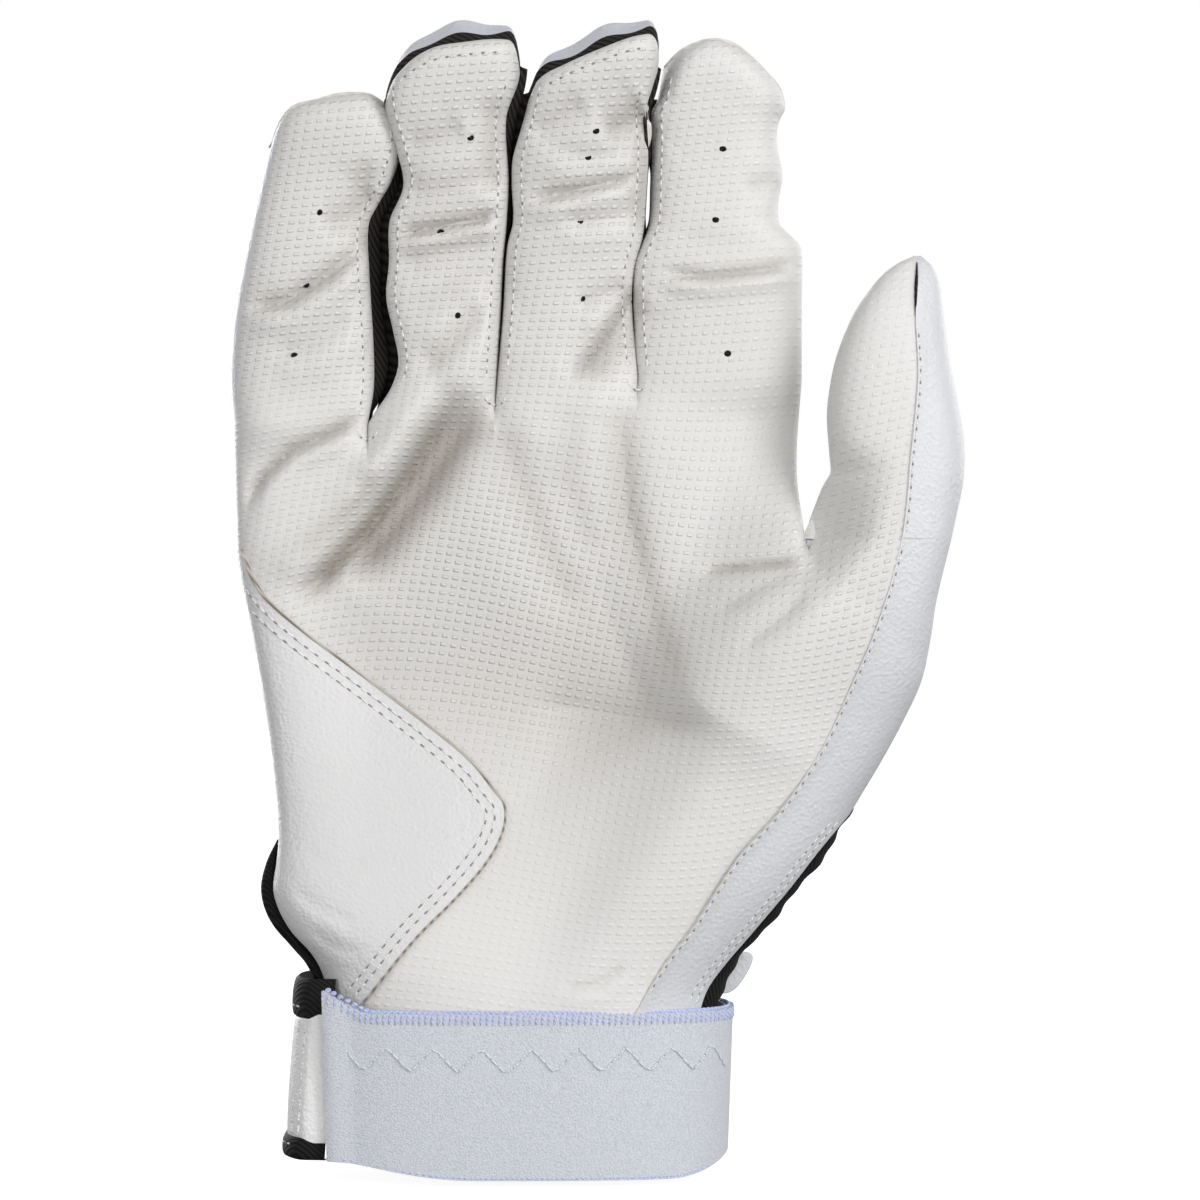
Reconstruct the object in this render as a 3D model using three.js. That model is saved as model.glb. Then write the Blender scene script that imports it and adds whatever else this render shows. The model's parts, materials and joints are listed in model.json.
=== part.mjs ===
// Batting glove for the right hand, filled out as on a hand and standing on the hem of its cuff.
// Millimetres, +Z up along the fingers, palm facing -Y, thumb on +X.
// The origin is the bottom centre of the glove's box.
import * as THREE from "three";

// Sheet materials and the clearances between pieces
const LEATHER = 1.1;
const PATCH_LEATHER = 0.9;
const KNIT = 1.1;
const WEBBING = 1.8;
const HOOK_TAPE = 0.9;
const SEAM_GAP = 0.3;
const PATCH_GAP = 0.5;
const FINGER_GAP = 1.0;
const HINGE_MARGIN = 0.4;

// Palm: where its rows lie and how thick the hand is there
const TUCK = 4;
const WRIST_EASE = 0.9;
const TAB_STANDOFF = 5;
const THUMB_CROTCH_Z = 126.4;
const KNUCKLE_LEFT = -73.4;
const KNUCKLE_SETBACK = 6;
const KNUCKLE_DEPTH = 11;
const KNUCKLE_FADE = 14;
const LOBE_SWELL = 0.06;
const PALM_SQUARENESS = 2.7;
const FINGER_SQUARENESS = 2.6;

// Fingers from the little one to the index: widths across, heights of base and tip,
// sideways lean and forward curl of the tip, and the half height of the knit side strips
const FINGERS = [
  { name: "little", base: 27, mid: 24.4, tip: 24, from: 150, to: 215, lean: 6.3, curl: 8, strip: [0, 3.6] },
  { name: "ring", base: 25, mid: 22.4, tip: 24.6, from: 155, to: 226.5, lean: 5.7, curl: 15, strip: [3.6, 3.6] },
  { name: "middle", base: 26.8, mid: 24.4, tip: 24, from: 159, to: 228, lean: 4, curl: 15, strip: [3.6, 3.6] },
  { name: "index", base: 32.6, mid: 30.6, tip: 25.4, from: 158, to: 227, lean: -0.4, curl: 8, strip: [3.6, 0] },
];
const FINGERTIP_DEPTH = 9;
const FINGER_ROUND_FROM = 0.78;
const FINGERTIP_SQUARENESS = 2.8;
const TIP_STRIP = 1.4;

// Thumb: rolled so that its pad faces the fingers and its seam faces the front
const THUMB = { width: 24.6, pad: 14, nail: 13.2, to: 182.5, lean: 6.6, setback: -14, curl: 4, roll: -73 };
const THUMB_ROUND_FROM = 0.36;
const THUMB_SQUARENESS = 2.1;
const THUMB_WRIST_INSET = 4;

// Cuff: a flat band round the wrist, seen from above, angles from the front (0) over the thumb side (90)
const CUFF = { centre: -16.8, halfWidth: 42, halfDepth: 20, height: 33.4, squareness: 2.7 };
const CUFF_BACK = 1.4;
const BAND_ENDS = { left: -58, right: 108 };
const TAB = { end: -128, thickness: 3.8 };
const STRAP = { from: 118, to: 237, low: 8, below: 1.4, thickness: 1.6, edgeLow: 3, edgeAbove: 5 };
const HOOK_PATCH = { from: 124, to: 156, margin: 3 };
const SLIT = { x: -10, top: 74, border: 3, cuffFrom: 167, cuffTo: 175 };
const ANGLE_GAP = 0.6;

// Small pieces at the wrist
const PATCH_TOP = 117;
const BINDING = { width: 2.4, depth: 5, clear: 1.3 };
const KNIT_INSERT = { rows: 5, front: 8, behind: 12, tip: 1.2, taper: 3 };
const PULL_TAB = { width: 3.2, height: 8, thickness: 1.6, above: 4.5, clear: 1.5 };

const WHITE = 0xe2e1df;
const PALM_WHITE = 0xdedad4;
const COOL_WHITE = 0xcdd3db;
const BLACK = 0x1a1a1c;

const glove = new THREE.Group();

// A smooth curve through [position, value] pairs, as a function of the position.
function through(pairs) {
  const slope = pairs.map((pair, i) => {
    const before = pairs[Math.max(i - 1, 0)];
    const after = pairs[Math.min(i + 1, pairs.length - 1)];
    return (after[1] - before[1]) / (after[0] - before[0]);
  });
  return (at) => {
    let i = 0;
    while (i < pairs.length - 2 && at > pairs[i + 1][0]) i += 1;
    const [a, va] = pairs[i];
    const [b, vb] = pairs[i + 1];
    const step = b - a;
    const t = THREE.MathUtils.clamp((at - a) / step, 0, 1);
    const t2 = t * t;
    const t3 = t2 * t;
    return (
      (2 * t3 - 3 * t2 + 1) * va +
      (t3 - 2 * t2 + t) * step * slope[i] +
      (3 * t2 - 2 * t3) * vb +
      (t3 - t2) * step * slope[i + 1]
    );
  };
}

const mix = THREE.MathUtils.lerp;
const smooth = (at, from, to) => THREE.MathUtils.smoothstep(at, from, to);
const evenly = (count, from = 0, to = 1) =>
  Array.from({ length: count + 1 }, (_, i) => mix(from, to, i / count));
// Places from -1 to 1 that crowd towards both ends, where a rounded section turns fastest.
const rounded = (count) => evenly(count, -Math.PI / 2, Math.PI / 2).map(Math.sin);
// Height of a superellipse at t from its middle (0) to its end (1).
const arch = (t, power) => (1 - Math.min(Math.abs(t), 1) ** power) ** (1 / power);

// A closed solid between two grids of points; keep(row, column) says which cells exist.
function thickSheet(outer, inner, keep = () => true) {
  const rows = outer.length;
  const columns = outer[0].length;
  const index = [];
  const at = (row, column, layer) => layer * rows * columns + row * columns + column;
  const quad = (a, b, c, d) => index.push(a, b, c, a, c, d);
  const used = (row, column) =>
    row >= 0 && column >= 0 && row < rows - 1 && column < columns - 1 && keep(row, column);
  for (let r = 0; r < rows - 1; r += 1) {
    for (let c = 0; c < columns - 1; c += 1) {
      if (!used(r, c)) continue;
      quad(at(r, c, 0), at(r, c + 1, 0), at(r + 1, c + 1, 0), at(r + 1, c, 0));
      quad(at(r, c, 1), at(r + 1, c, 1), at(r + 1, c + 1, 1), at(r, c + 1, 1));
      if (!used(r - 1, c)) quad(at(r, c, 0), at(r, c, 1), at(r, c + 1, 1), at(r, c + 1, 0));
      if (!used(r + 1, c))
        quad(at(r + 1, c + 1, 0), at(r + 1, c + 1, 1), at(r + 1, c, 1), at(r + 1, c, 0));
      if (!used(r, c - 1)) quad(at(r + 1, c, 0), at(r + 1, c, 1), at(r, c, 1), at(r, c, 0));
      if (!used(r, c + 1))
        quad(at(r, c + 1, 0), at(r, c + 1, 1), at(r + 1, c + 1, 1), at(r + 1, c + 1, 0));
    }
  }
  const points = [...outer.flat(), ...inner.flat()];
  let volume = 0;
  for (let i = 0; i < index.length; i += 3) {
    const [a, b, c] = [points[index[i]], points[index[i + 1]], points[index[i + 2]]];
    volume += a.dot(new THREE.Vector3().crossVectors(b, c));
  }
  if (volume < 0) index.reverse();
  const geometry = new THREE.BufferGeometry().setFromPoints(points);
  geometry.setIndex(index);
  return geometry;
}

// A group whose origin lies on the axis that its pieces turn about.
function hingeAt(x, y, z) {
  const hinge = new THREE.Group();
  hinge.position.set(x, y, z);
  glove.add(hinge);
  return hinge;
}

// A named piece, from geometry in the glove's frame, in the glove or in a hinge's group.
function addMesh(name, geometry, color, roughness, hinge = glove) {
  const { x, y, z } = hinge.position;
  const material = new THREE.MeshStandardMaterial({ color, roughness, metalness: 0 });
  const mesh = new THREE.Mesh(geometry.translate(-x, -y, -z), material);
  mesh.name = name;
  hinge.add(mesh);
  return mesh;
}

const leather = (name, geometry, color = WHITE, hinge = glove) =>
  addMesh(name, geometry, color, 0.55, hinge);
const knit = (name, geometry, hinge = glove) => addMesh(name, geometry, BLACK, 0.85, hinge);

// Outline of the palm in the front view: left and right edges and the lines inside it, x by z.
const palmBottom = CUFF.height - TUCK;
const knuckleRight =
  KNUCKLE_LEFT + FINGERS.reduce((sum, f) => sum + f.base, 0) + FINGER_GAP * (FINGERS.length - 1);
const wristLeft = CUFF.centre - CUFF.halfWidth + TAB_STANDOFF;
const wristRight = CUFF.centre + CUFF.halfWidth - WRIST_EASE;
const leftEdge = through([
  [palmBottom, wristLeft],
  [CUFF.height + 10.6, -57.6],
  [56, -61.6],
  [76, -64.6],
  [104, -68],
  [THUMB_CROTCH_Z, KNUCKLE_LEFT + 1.4],
  [FINGERS[0].from, KNUCKLE_LEFT],
]);
const thumbEdge = through([
  [palmBottom, wristRight],
  [CUFF.height + SEAM_GAP, wristRight],
  [CUFF.height + 6.6, 25],
  [CUFF.height + 13.6, 30.6],
  [54.4, 37.6],
  [70.4, 49.6],
  [86.4, 59],
  [102.4, 65.6],
  [THUMB_CROTCH_Z, 70.4],
]);
const crotchX = knuckleRight;
const indexEdge = through([
  [THUMB_CROTCH_Z, crotchX],
  [140, knuckleRight - 1.2],
  [FINGERS[3].from, knuckleRight],
]);
const webLine = through([
  [palmBottom, -8],
  [80, 12],
  [THUMB_CROTCH_Z, crotchX],
]);
const thumbSeam = through([
  [palmBottom, 5],
  [42, 12.4],
  [64, 27.4],
  [85, 43.4],
  [110, 54.4],
  [THUMB_CROTCH_Z, 59],
]);
const thumbLobeLeft = through([
  [palmBottom, -34],
  [70, -5],
  [100, 22],
  [THUMB_CROTCH_Z, crotchX],
]);

// Depth of the hand: its middle surface, and how far the front and the back stand off it, by z.
const palmMiddle = through([
  [palmBottom, 0],
  [60, 1],
  [100, 4],
  [FINGERS[0].from, KNUCKLE_SETBACK],
]);
const thumbMiddle = through([
  [palmBottom, 0],
  [60, -2],
  [90, -8],
  [THUMB_CROTCH_Z, THUMB.setback],
]);
const wristDepth = CUFF.halfDepth - WRIST_EASE;
const wristTop = CUFF.height + SEAM_GAP;
const depthAlong = (wrist, middle, upper, topZ, top) =>
  through([[palmBottom, wrist], [wristTop, wrist], [60, middle], [95, upper], [topZ, top]]);
const thumbWristDepth = wristDepth - THUMB_WRIST_INSET;
const palmDepth = {
  front: depthAlong(wristDepth, 17, 14, FINGERS[0].from, KNUCKLE_DEPTH),
  back: depthAlong(wristDepth, 17, 15, FINGERS[0].from, KNUCKLE_DEPTH),
};
const thumbDepth = {
  front: depthAlong(thumbWristDepth, 20, 17, THUMB_CROTCH_Z, THUMB.width / 2),
  back: depthAlong(thumbWristDepth, 14, 12, THUMB_CROTCH_Z, THUMB.width / 2),
};

// A point of the hand's front or back surface at (x, z). Inset moves the surface in by that much.
// finger is the column's place under its finger (-1 to 1), used as the surface nears the knuckles.
function handPoint(side, x, z, inset = 0, finger = null, top = Infinity) {
  const below = z <= THUMB_CROTCH_Z;
  const left = leftEdge(z) + inset;
  const right = (below ? thumbEdge(z) : indexEdge(z)) - inset;
  const palmRight = below ? Math.min(right, Math.max(crotchX, webLine(z)) + 2 - inset) : right;
  const lobe = (from, to, depth) =>
    Math.max(depth - inset, 0) * arch((x - (from + to) / 2) / ((to - from) / 2), PALM_SQUARENESS);
  const palm = lobe(left, palmRight, palmDepth[side](z));
  const lobeLeft = thumbLobeLeft(z);
  const thumb = below ? lobe(lobeLeft + inset, right, thumbDepth[side](z)) : 0;
  const swell = LOBE_SWELL * smooth(z, wristTop, wristTop + 25);
  let stand = Math.min(Math.hypot(palm ** 2, thumb ** 2) ** 0.5, Math.max(palm, thumb) * (1 + swell));
  if (finger !== null) {
    const depth = (KNUCKLE_DEPTH - inset) * arch(finger, FINGER_SQUARENESS);
    stand = mix(stand, depth, smooth(z, top - KNUCKLE_FADE, top));
  }
  const inside = x > left + 2 * LEATHER && x < right - 2 * LEATHER;
  const least = (inside ? LEATHER + SEAM_GAP : SEAM_GAP / 2) + (inside ? LEATHER - inset : 0);
  stand = Math.max(stand, least);
  const towardsThumb = below ? smooth(x, lobeLeft, (lobeLeft + right) / 2) : 0;
  const middle = mix(palmMiddle(z), thumbMiddle(Math.min(z, THUMB_CROTCH_Z)), towardsThumb);
  const clampedX = THREE.MathUtils.clamp(x, left, right);
  return new THREE.Vector3(clampedX, side === "front" ? middle - stand : middle + stand, z);
}

// Columns of the palm under the fingers: their share of the way across, and place under a finger.
const knuckleSpan = knuckleRight - KNUCKLE_LEFT;
const knuckleColumns = [];
let fingerLeft = KNUCKLE_LEFT;
for (const finger of FINGERS) {
  finger.centre = fingerLeft + finger.base / 2;
  for (const u of rounded(6)) {
    const x = finger.centre + (u * finger.base) / 2;
    knuckleColumns.push({ share: (x - KNUCKLE_LEFT) / knuckleSpan, u, finger });
  }
  fingerLeft += finger.base + FINGER_GAP;
}
const lowerRows = [palmBottom, ...evenly(8, wristTop, THUMB_CROTCH_Z)];
const insertTop = lowerRows[KNIT_INSERT.rows - 1];
lowerRows.splice(KNIT_INSERT.rows, 0, insertTop + KNIT_INSERT.taper);
const UPPER_ROWS = 4;

// The front or back sheet of the hand: columns under the fingers, then columns under the thumb.
function handSheet(side, thumbColumns, thumbEnd, keep) {
  const grid = (inset) => {
    const rows = lowerRows.map((z) => {
      const left = leftEdge(z);
      const web = webLine(z);
      const under = knuckleColumns.map(({ share, u, finger }) =>
        handPoint(side, mix(left, web, share), z, inset, u, finger.from - SEAM_GAP / 2));
      const across = thumbColumns.map((share) =>
        handPoint(side, mix(web, thumbEnd(z), share), z, inset));
      return [...under, ...across];
    });
    for (let r = 1; r <= UPPER_ROWS; r += 1) {
      const under = knuckleColumns.map(({ share, u, finger }) => {
        const top = finger.from - SEAM_GAP / 2;
        const z = mix(THUMB_CROTCH_Z, top, r / UPPER_ROWS);
        return handPoint(side, mix(leftEdge(z), indexEdge(z), share), z, inset, u, top);
      });
      rows.push([...under, ...thumbColumns.map(() => under[under.length - 1])]);
    }
    return rows;
  };
  const fingerCells = knuckleColumns.length - 1;
  const exists = (row, column) =>
    (row < lowerRows.length - 1 || column < fingerCells) && keep(row, column);
  return thickSheet(grid(0), grid(LEATHER), exists);
}

// A sheet between two lines x by z on the hand's front or back, from z rows, between two insets.
function handStrip(side, rows, shares, from, to, outside, inside) {
  const grid = (inset) =>
    rows.map((z) => shares.map((share) => handPoint(side, mix(from(z), to(z), share), z, inset)));
  return thickSheet(grid(outside), grid(inside));
}

// Palm leather with the ball of the thumb, up to the seam of the thumb strip
const inwards = evenly(4).slice(1);
const seamLeft = (z) => thumbSeam(z) - SEAM_GAP / 2;
const seamRight = (z) => thumbSeam(z) + SEAM_GAP / 2;
leather("palm_panel", handSheet("front", inwards, seamLeft, () => true), PALM_WHITE);

// Smooth leather strip along the outside of the thumb, cut back near the wrist for the knit insert
const cutBack = (width) =>
  through([
    [palmBottom, width],
    [insertTop, KNIT_INSERT.tip],
    [insertTop + KNIT_INSERT.taper, 0],
    [THUMB_CROTCH_Z, 0],
  ]);
const stripCut = cutBack(KNIT_INSERT.front);
const stripRight = (z) => thumbEdge(z) - stripCut(z);
const outwards = evenly(4, 0, Math.PI / 2).map(Math.sin);
leather("thumb_strip", handStrip("front", lowerRows, outwards, seamRight, stripRight, 0, LEATHER));

// Back leather, with a slit up from the wrist between two columns
const backCut = cutBack(KNIT_INSERT.behind);
const backRight = (z) => thumbEdge(z) - backCut(z);
const backShares = evenly(5, 0, Math.PI / 2).map(Math.sin).slice(1);
const backX = (z, column) => mix(leftEdge(z), webLine(z), knuckleColumns[column].share);
const slitColumn = knuckleColumns.findIndex((_, column) => backX(SLIT.top, column + 1) > SLIT.x);
const slitRow = lowerRows.findIndex((z) => z > SLIT.top);
const openSlit = (row, column) => row >= slitRow || column !== slitColumn;
leather("back_panel", handSheet("back", backShares, backRight, openSlit));

// Black knit insert, round the edge of the wrist below the thumb from the strip to the back leather
const insertRows = lowerRows.slice(0, KNIT_INSERT.rows);
function insertGrid(inset) {
  return insertRows.map((z) => [
    ...outwards.map((share) =>
      handPoint("front", mix(stripRight(z) + SEAM_GAP, thumbEdge(z), share), z, inset)),
    ...outwards.map((share) => 1 - share).map((share) =>
      handPoint("back", mix(backRight(z) + SEAM_GAP, thumbEdge(z), share), z, inset)),
  ]);
}
knit("thumb_knit_insert", thickSheet(insertGrid(0), insertGrid(KNIT)));

// Smooth leather patch laid over the heel of the palm on the little-finger side
const patchEdge = through([
  [CUFF.height, -47.6],
  [48, -35.6],
  [63, -21.6],
  [71, -18.2],
  [78, -21.4],
  [91, -35.6],
  [109, -59.6],
  [PATCH_TOP, -67.4],
]);
const patchLeft = (z) => leftEdge(z) + 0.4;
const patchRows = evenly(12, wristTop + SEAM_GAP, PATCH_TOP);
const patchShares = evenly(7, 0, Math.PI / 2).map((angle) => 1 - Math.cos(angle));
leather(
  "heel_patch",
  handStrip("front", patchRows, patchShares, patchLeft, patchEdge, -PATCH_GAP - PATCH_LEATHER, -PATCH_GAP),
);

// Black binding round the slit in the back
function slitBinding() {
  const columns = [-SLIT.border, 0, 1, 1 + SLIT.border];
  const rows = [...lowerRows.slice(1, slitRow + 1), lowerRows[slitRow] + SLIT.border];
  const across = (z, column) => {
    const left = backX(z, slitColumn);
    const right = backX(z, slitColumn + 1);
    return [left - SLIT.border, left, right, right + SLIT.border][column];
  };
  const grid = (inset) =>
    rows.map((z) => columns.map((_, column) => handPoint("back", across(z, column), z, inset)));
  const open = (row, column) => column !== 1 || row === rows.length - 2;
  return thickSheet(grid(-SEAM_GAP - PATCH_LEATHER), grid(-SEAM_GAP), open);
}
knit("slit_binding", slitBinding());

// Digits: a front sheet, a back sheet and knit strips between them, closed over the tip
function digitFrame(digit) {
  const height = digit.to - digit.from - SEAM_GAP / 2;
  return (across, deep, v) => {
    const lean = Math.atan((2 * digit.curl * v) / height) * digit.tilt;
    const roll = THREE.MathUtils.degToRad(digit.roll);
    const x = across * Math.cos(roll) - deep * Math.sin(roll);
    const y = across * Math.sin(roll) + deep * Math.cos(roll);
    return new THREE.Vector3(
      digit.centre + digit.lean * v + x,
      digit.setback - digit.curl * v * v + y * Math.cos(lean),
      digit.from + SEAM_GAP / 2 + height * v + y * Math.sin(lean),
    );
  };
}

function digitShape(digit) {
  const height = digit.to - digit.from;
  const frame = digitFrame(digit);
  const halfWidth = through([
    [0, digit.base / 2 - SEAM_GAP],
    [0.45, digit.mid / 2],
    [digit.roundFrom, digit.tip / 2],
    [1, digit.tip / 2],
  ]);
  const room = (inset) => 1 - digit.roundFrom - inset / height;
  const topAt = (u, inset) => digit.roundFrom + room(inset) * arch(u, digit.tipSquareness);
  const tipShare = (v, inset) =>
    THREE.MathUtils.clamp((v - digit.roundFrom) / room(inset), 0, 1);
  const stripAt = (u, v) => {
    const side = mix(digit.strip[0], digit.strip[1], (u + 1) / 2);
    const tip = digit.strip[0] * digit.strip[1] > 0 ? TIP_STRIP : 0;
    return Math.max(mix(side, tip, tipShare(v, 0)), SEAM_GAP / 2);
  };
  const sheet = (sign, depth) => {
    const grid = (inset) =>
      evenly(digit.rows).map((share) =>
        rounded(8).map((u) => {
          const v = share * topAt(u, inset);
          const power = digit.tipSquareness;
          const reach = (Math.abs(u) ** power + tipShare(v, inset) ** power) ** (1 / power);
          const strip = stripAt(u, v);
          const deep = strip + (depth(v) - inset - strip) * arch(reach, digit.squareness);
          return frame(u * (halfWidth(v) - inset), sign * deep, v);
        }),
      );
    return thickSheet(grid(0), grid(LEATHER));
  };
  const strip = () => {
    const [left, right] = digit.strip;
    const end = left > 0 && right > 0 ? digit.roundFrom : 0.93 * digit.roundFrom;
    const up = evenly(digit.rows, 0, end).map((v) => [-1, v]);
    const over = rounded(12).slice(1, -1).map((u) => [u, null]);
    const down = up.map(([, v]) => [1, v]).reverse();
    const path = left > 0 && right > 0 ? [...up, ...over, ...down] : left > 0 ? up : down;
    const grid = (inset) =>
      path.map(([u, v]) => {
        const at = v === null ? topAt(u, inset) : v;
        const half = stripAt(u, v === null ? topAt(u, 0) : v) - SEAM_GAP;
        return [-half, half].map((deep) => frame(u * (halfWidth(at) - inset), deep, at));
      });
    return thickSheet(grid(0), grid(KNIT));
  };
  return { sheet, strip };
}

// The fingers, each turning about a line across the front of its base
for (const finger of FINGERS) {
  Object.assign(finger, {
    setback: KNUCKLE_SETBACK,
    roll: 0,
    tilt: 1,
    roundFrom: FINGER_ROUND_FROM,
    squareness: FINGER_SQUARENESS,
    tipSquareness: FINGERTIP_SQUARENESS,
    rows: 7,
    depth: KNUCKLE_DEPTH,
  });
  const depth = (v) => mix(finger.depth, FINGERTIP_DEPTH, v);
  const { sheet, strip } = digitShape(finger);
  const hinge = hingeAt(finger.centre, finger.setback - finger.depth - HINGE_MARGIN, finger.from);
  leather(`${finger.name}_front`, sheet(-1, depth), PALM_WHITE, hinge);
  leather(`${finger.name}_back`, sheet(1, depth), WHITE, hinge);
  knit(`${finger.name}_fourchette`, strip(), hinge);
}

// The thumb, of palm leather on the pad side and smooth leather on the nail side
const thumb = {
  ...THUMB,
  from: THUMB_CROTCH_Z,
  centre: (crotchX + thumbEdge(THUMB_CROTCH_Z)) / 2 + 0.4,
  base: THUMB.width,
  mid: THUMB.width,
  tip: THUMB.width,
  strip: [0, 0],
  tilt: 0,
  roundFrom: THUMB_ROUND_FROM,
  squareness: THUMB_SQUARENESS,
  tipSquareness: THUMB_SQUARENESS,
  rows: 8,
};
const thumbShape = digitShape(thumb);
const thumbHinge = hingeAt(thumb.centre, THUMB.setback - THUMB.width / 2 - HINGE_MARGIN, thumb.from);
leather("thumb_front", thumbShape.sheet(-1, () => THUMB.pad), PALM_WHITE, thumbHinge);
leather("thumb_back", thumbShape.sheet(1, () => THUMB.nail), WHITE, thumbHinge);

// A piece of the cuff's ring: between two angles, two heights and two distances from its inner face
function cuffPoint(angle, off, z) {
  const bend = (value) => Math.sign(value) * Math.abs(value) ** (2 / CUFF.squareness);
  const turn = THREE.MathUtils.degToRad(angle);
  const x = CUFF.centre + (CUFF.halfWidth + off) * bend(Math.sin(turn));
  return new THREE.Vector3(x, -(CUFF.halfDepth + off) * bend(Math.cos(turn)), z);
}
function cuffPiece(from, to, low, high, inside, outside) {
  const count = Math.max(2, Math.round(Math.abs(to - from) / 8));
  const grid = (off) => [low, high].map((z) => evenly(count, from, to).map((a) => cuffPoint(a, off, z)));
  return thickSheet(grid(outside), grid(inside));
}
const elastic = (name, geometry) => addMesh(name, geometry, COOL_WHITE, 0.9);
const FULL_TURN = 360;
const tabBack = TAB.end + FULL_TURN;
const strapHigh = CUFF.height - STRAP.below;
const strapEdgeHigh = CUFF.height + STRAP.edgeAbove;
elastic("cuff_band", cuffPiece(BAND_ENDS.left, BAND_ENDS.right, 0, CUFF.height, 0, WEBBING));
elastic(
  "cuff_back_thumb_side",
  cuffPiece(BAND_ENDS.right + ANGLE_GAP, SLIT.cuffFrom, 0, CUFF.height, 0, CUFF_BACK),
);
elastic(
  "cuff_back_little_side",
  cuffPiece(SLIT.cuffTo, tabBack - ANGLE_GAP, 0, CUFF.height, 0, CUFF_BACK),
);

// White tab round the little-finger side, with black binding over its two ends
const tabPiece = (low, high) =>
  cuffPiece(TAB.end, BAND_ENDS.left - ANGLE_GAP, low, high, 0, TAB.thickness);
leather("strap_tab", tabPiece(STRAP.low, strapHigh));
knit("tab_upper_binding", tabPiece(strapHigh + SEAM_GAP, strapEdgeHigh));
knit("tab_lower_binding", tabPiece(STRAP.edgeLow, STRAP.low - SEAM_GAP));

// Loop patch on the cuff's back, hook patch on the strap, and the strap with its bound edges
const loopIn = CUFF_BACK + SEAM_GAP;
const hookIn = loopIn + HOOK_TAPE + SEAM_GAP;
const strapIn = TAB.thickness + SEAM_GAP;
const patchPiece = (inside, outside) =>
  cuffPiece(
    HOOK_PATCH.from,
    HOOK_PATCH.to,
    STRAP.low + HOOK_PATCH.margin,
    strapHigh - HOOK_PATCH.margin,
    inside,
    outside,
  );
elastic("loop_patch", patchPiece(loopIn, loopIn + HOOK_TAPE));
const strapEnd = cuffPoint(STRAP.to, strapIn + STRAP.thickness, 0);
const strapHinge = hingeAt(strapEnd.x, strapEnd.y, STRAP.low);
addMesh("hook_patch", patchPiece(hookIn, strapIn - SEAM_GAP), BLACK, 0.8, strapHinge);
const strapPiece = (low, high) =>
  cuffPiece(STRAP.from, STRAP.to, low, high, strapIn, strapIn + STRAP.thickness);
leather("closure_strap", strapPiece(STRAP.low, strapHigh), WHITE, strapHinge);
knit("strap_upper_binding", strapPiece(strapHigh + SEAM_GAP, strapEdgeHigh), strapHinge);
knit("strap_lower_binding", strapPiece(STRAP.edgeLow, STRAP.low - SEAM_GAP), strapHinge);

// Black binding along the lower little-finger edge of the back
function edgeBinding() {
  const half = BINDING.width / 2;
  const section = new THREE.Shape();
  section.absellipse(0, 0, half, BINDING.depth / 2, 0, 2 * Math.PI);
  const heights = [CUFF.height + 7, 46, 52, 58, 66];
  const bulge = [0, 0.6, 2.2, 2.4, 0.2];
  const path = new THREE.CatmullRomCurve3(
    heights.map((z, i) =>
      new THREE.Vector3(leftEdge(z) - half - BINDING.clear - bulge[i], palmMiddle(z) + 1, z)),
  );
  return new THREE.ExtrudeGeometry(section, { steps: 10, curveSegments: 4, extrudePath: path });
}
knit("wrist_binding", edgeBinding());

// White leather pull tab on the thumb side of the wrist
function pullTab() {
  const { width, height } = PULL_TAB;
  const shape = new THREE.Shape();
  shape.moveTo(0, -height / 2);
  shape.lineTo(width - height / 4, -height / 2);
  shape.absarc(width - height / 4, -height / 4, height / 4, -Math.PI / 2, 0);
  shape.absarc(width - height / 4, height / 4, height / 4, 0, Math.PI / 2);
  shape.lineTo(0, height / 2);
  return new THREE.ExtrudeGeometry(shape, {
    depth: PULL_TAB.thickness,
    bevelEnabled: false,
    curveSegments: 5,
  });
}
const pull = leather("pull_tab", pullTab());
const pullZ = CUFF.height + PULL_TAB.above;
pull.rotation.x = Math.PI / 2;
pull.position.set(thumbEdge(pullZ + PULL_TAB.height / 2) + PULL_TAB.clear, 1, pullZ);

// The frame's origin is the bottom centre of the box
const box = new THREE.Box3().setFromObject(glove);
const middle = box.getCenter(new THREE.Vector3());
for (const piece of glove.children) piece.position.sub(new THREE.Vector3(middle.x, middle.y, box.min.z));

export default glove;
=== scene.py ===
# %% [markdown]
# # A batting glove, dressed over its solids
# The solids of the glove are the frame: they hold its size, its hinges and its weight.
# This lesson lays leather, knit, elastic and thread over them.
# Shapes are worked out in millimetres in the drawing's own frame, where x runs towards the thumb,
# y runs from the palm to the back and z runs up the fingers. One function moves them into the frame.

# %% Load the frame
import json
import math

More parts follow.
